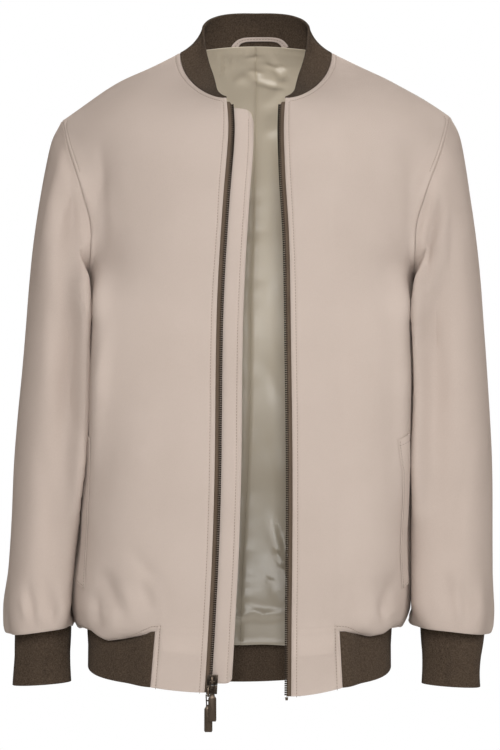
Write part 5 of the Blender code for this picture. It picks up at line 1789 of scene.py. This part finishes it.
stitchForm = {"Pitch": 3.1, "Stitch Half": 1.3, "Thread Half": 0.32}
lines = {"body": [], "armholes": [], "flap": [], "loop": [], "pockets": []}
for side in sides:
    panel = cloth["front_" + side]
    last = panel.points.shape[1] - 1
    neck = np.arange(last, stitchStep - 1, -1)
    edge = np.arange(stitchStep + 1, len(panel.points))
    rows = np.concatenate([np.full(len(neck), stitchStep), edge])
    columns = np.concatenate([neck, np.full(len(edge), stitchStep)])
    lines["body"].append(clothLine(panel, rows, columns, shellThick))
    hem = np.arange(last, tabColumn - stitchStep - 1, -1)
    foot = np.arange(hemStitchRow + 1, len(panel.points))
    rows = np.concatenate([np.full(len(hem), hemStitchRow), foot])
    columns = np.concatenate([hem, np.full(len(foot), tabColumn - stitchStep)])
    lines["body"].append(clothLine(panel, rows, columns, shellThick))
    for piece, end in ((panel, frontEnd), (backCloth, underarmRow)):
        rows = np.arange(shoulderRow, end + 1)
        column = piece.points.shape[1] - 1 - stitchStep
        if piece is backCloth and side == "right":
            column = stitchStep
        lines["armholes"].append(clothLine(piece, rows, column, shellThick))
    welt = cloth["pocket_welt_" + side]
    rows = np.arange(1, len(welt.points) - 1)
    depth = weltForm["rise"] + weltForm["thin"] + 0.1
    lines["pockets"].append(clothLine(welt, rows, stitchStep, depth))
    for row in (2, len(welt.points) - 3):
        inward = np.arange(stitchStep + 1, weltForm["columns"] - 2)
        lines["pockets"].append(clothLine(welt, row, inward, weltOut[inward]))
for row in (stitchStep, hemStitchRow):
    columns = np.arange(backCloth.points.shape[1])
    lines["body"].append(clothLine(backCloth, row, columns, shellThick))
columns = np.arange(loopForm["steps"] + 1)
lines["loop"].append(clothLine(loopPiece, 4, columns, loopForm["thick"] / 2))

# the flap's line runs along its top, round its corner and down
turn = np.linspace(0, math.pi / 2, 9)
inset = guardForm["seamLine"]
seam, top = guardForm["across"][-1] + inset, guardForm["top"] - inset
radius = guardForm["cornerTop"] - inset
bend = seam + radius - radius * np.sin(turn)
across = np.concatenate([[6.0, 0.0, -5.0], bend, np.full(140, seam)])
straight = np.linspace(top - radius - 2, guardForm["foot"] + 6, 140)
levels = np.concatenate([[top] * 3, top - radius + radius * np.cos(turn), straight])
lines["flap"].append(guardLine(across, levels, guardForm["thick"] / 2 - 0.2))
for name, paths in lines.items():
    run = pathObject("stitching_" + name, paths)
    made[run.name] = runTree(run, stitches, grooveShadedThread, stitchForm)
print("stitches sewn")


# Binding to the frame: the pulls go with their own bodies, and the rest, the rows of teeth and the
# zip's tapes too, with the jacket.
bodyOf = {"pull_upper": "upper_pull", "pull_lower": "lower_pull"}
for name, piece in made.items():
    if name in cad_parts:
        piece.name = name + "_dressed"
        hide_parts(name)
    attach(piece, bodyOf.get(name, "jacket"))


# What each piece is cut from: flat width and length in metres, how it is held, and what carries it.
# A name without its side stands for the right piece and the left one.
cuts = {
    "front": (0.30, 0.66, "hung", "back collar_rib"),
    "back": (0.52, 0.68, "hung", "collar_rib"),
    "sleeve": (0.46, 0.60, "hung", "back"),
    "collar_rib": (0.60, 0.05, "stretched", "back"),
    "cuff": (0.20, 0.07, "hung", "sleeve"),
    "hem_rib": (0.80, 0.065, "stretched", "back"),
    "zip_guard": (0.05, 0.60, "hung", "front_right"),
    "zip_tape": (0.016, 0.62, "hung", "front"),
    "lining_back": (0.26, 0.66, "hung", "collar_rib"),
    "hanger_loop": (0.065, 0.01, "hung", "collar_rib"),
    "pocket_welt": (0.03, 0.16, "hung", "front"),
}
for kind, (width, length, held, carriers) in cuts.items():
    for end in [""] if kind in made else ["_right", "_left"]:
        piece, area = made[kind + end], cloth[kind + end].area()
        print("cut", kind + end, width, length, "area", round(area, 5))


# Floor, lights and camera
studio = {
    "around": 0.20,
    "aroundTint": (1.0, 0.90, 0.81),
    "aim": (0.0, -0.1, -0.34),
    "lampHeight": 1.6,
    "lamps": {  # each lamp's place, width and power
        "key": ((2.5, -2.1, 0.7), 1.3, 36.0),
        "fill": ((-1.5, -2.5, 1.2), 1.3, 17.0),
        "front": ((0.0, -4.2, 0.9), 0.45, 101.0),
        "top": ((0.0, -0.9, 2.4), 1.3, 17.0),
        "back": ((0.4, 3.8, 1.0), 1.3, 90.0),
    },
    "floor": -1.45,
    "floorHalf": 3,
    "sensor": 36.0,
    "lens": 179.4,
    "sight": 50.0,
    "camera": (-0.0064, -4.0, -0.3435),
}
scene = bpy.context.scene
world = scene.world = bpy.data.worlds.new("paleStudio")
world.use_nodes = True
sky = world.node_tree
seen = addNode(sky, "ShaderNodeLightPath").outputs["Is Camera Ray"]
background = sky.nodes["Background"].inputs
sky.links.new(mixColours(sky, seen, studio["aroundTint"], (1.0, 1.0, 1.0)), background["Color"])
sky.links.new(mapRange(sky, seen, 0.0, 1.0, studio["around"], 1.0), background["Strength"])
for name, (place, width, power) in studio["lamps"].items():
    light = bpy.data.lights.new(name, "AREA")
    light.shape = "RECTANGLE"
    light.size, light.size_y, light.energy = width, studio["lampHeight"], power
    lamp = addObject(name, light)
    lamp.location = place
    way = Vector(studio["aim"]) - Vector(place)
    lamp.rotation_euler = way.to_track_quat("-Z", "Y").to_euler()

half, z = studio["floorHalf"], studio["floor"]
floorMesh = bpy.data.meshes.new("floor")
corners = [(-half, -half, z), (half, -half, z), (half, half, z), (-half, half, z)]
floorMesh.from_pydata(corners, [], [(0, 1, 2, 3)])
floor = addObject("floor", floorMesh)
paleFloor = {
    "colour": (0.86, 0.86, 0.85),
    "otherColour": (0.84, 0.84, 0.83),
    "wornColour": (0.87, 0.87, 0.86),
    "grainScale": 40.0,
    "roughLow": 0.6,
    "roughHigh": 0.75,
    "relief": 0.02,
    "surface": {"Metallic": 0.0},
}
floorMesh.materials.append(hardMaterial("pale_floor", paleFloor))

scene.view_settings.view_transform = "Standard"
camera = bpy.data.cameras.new("camera")
camera.sensor_width, camera.lens = studio["sensor"], studio["lens"]
camera.clip_end = studio["sight"]
scene.camera = addObject("camera", camera)
scene.camera.location = studio["camera"]
scene.camera.rotation_euler = (math.radians(90), 0, 0)
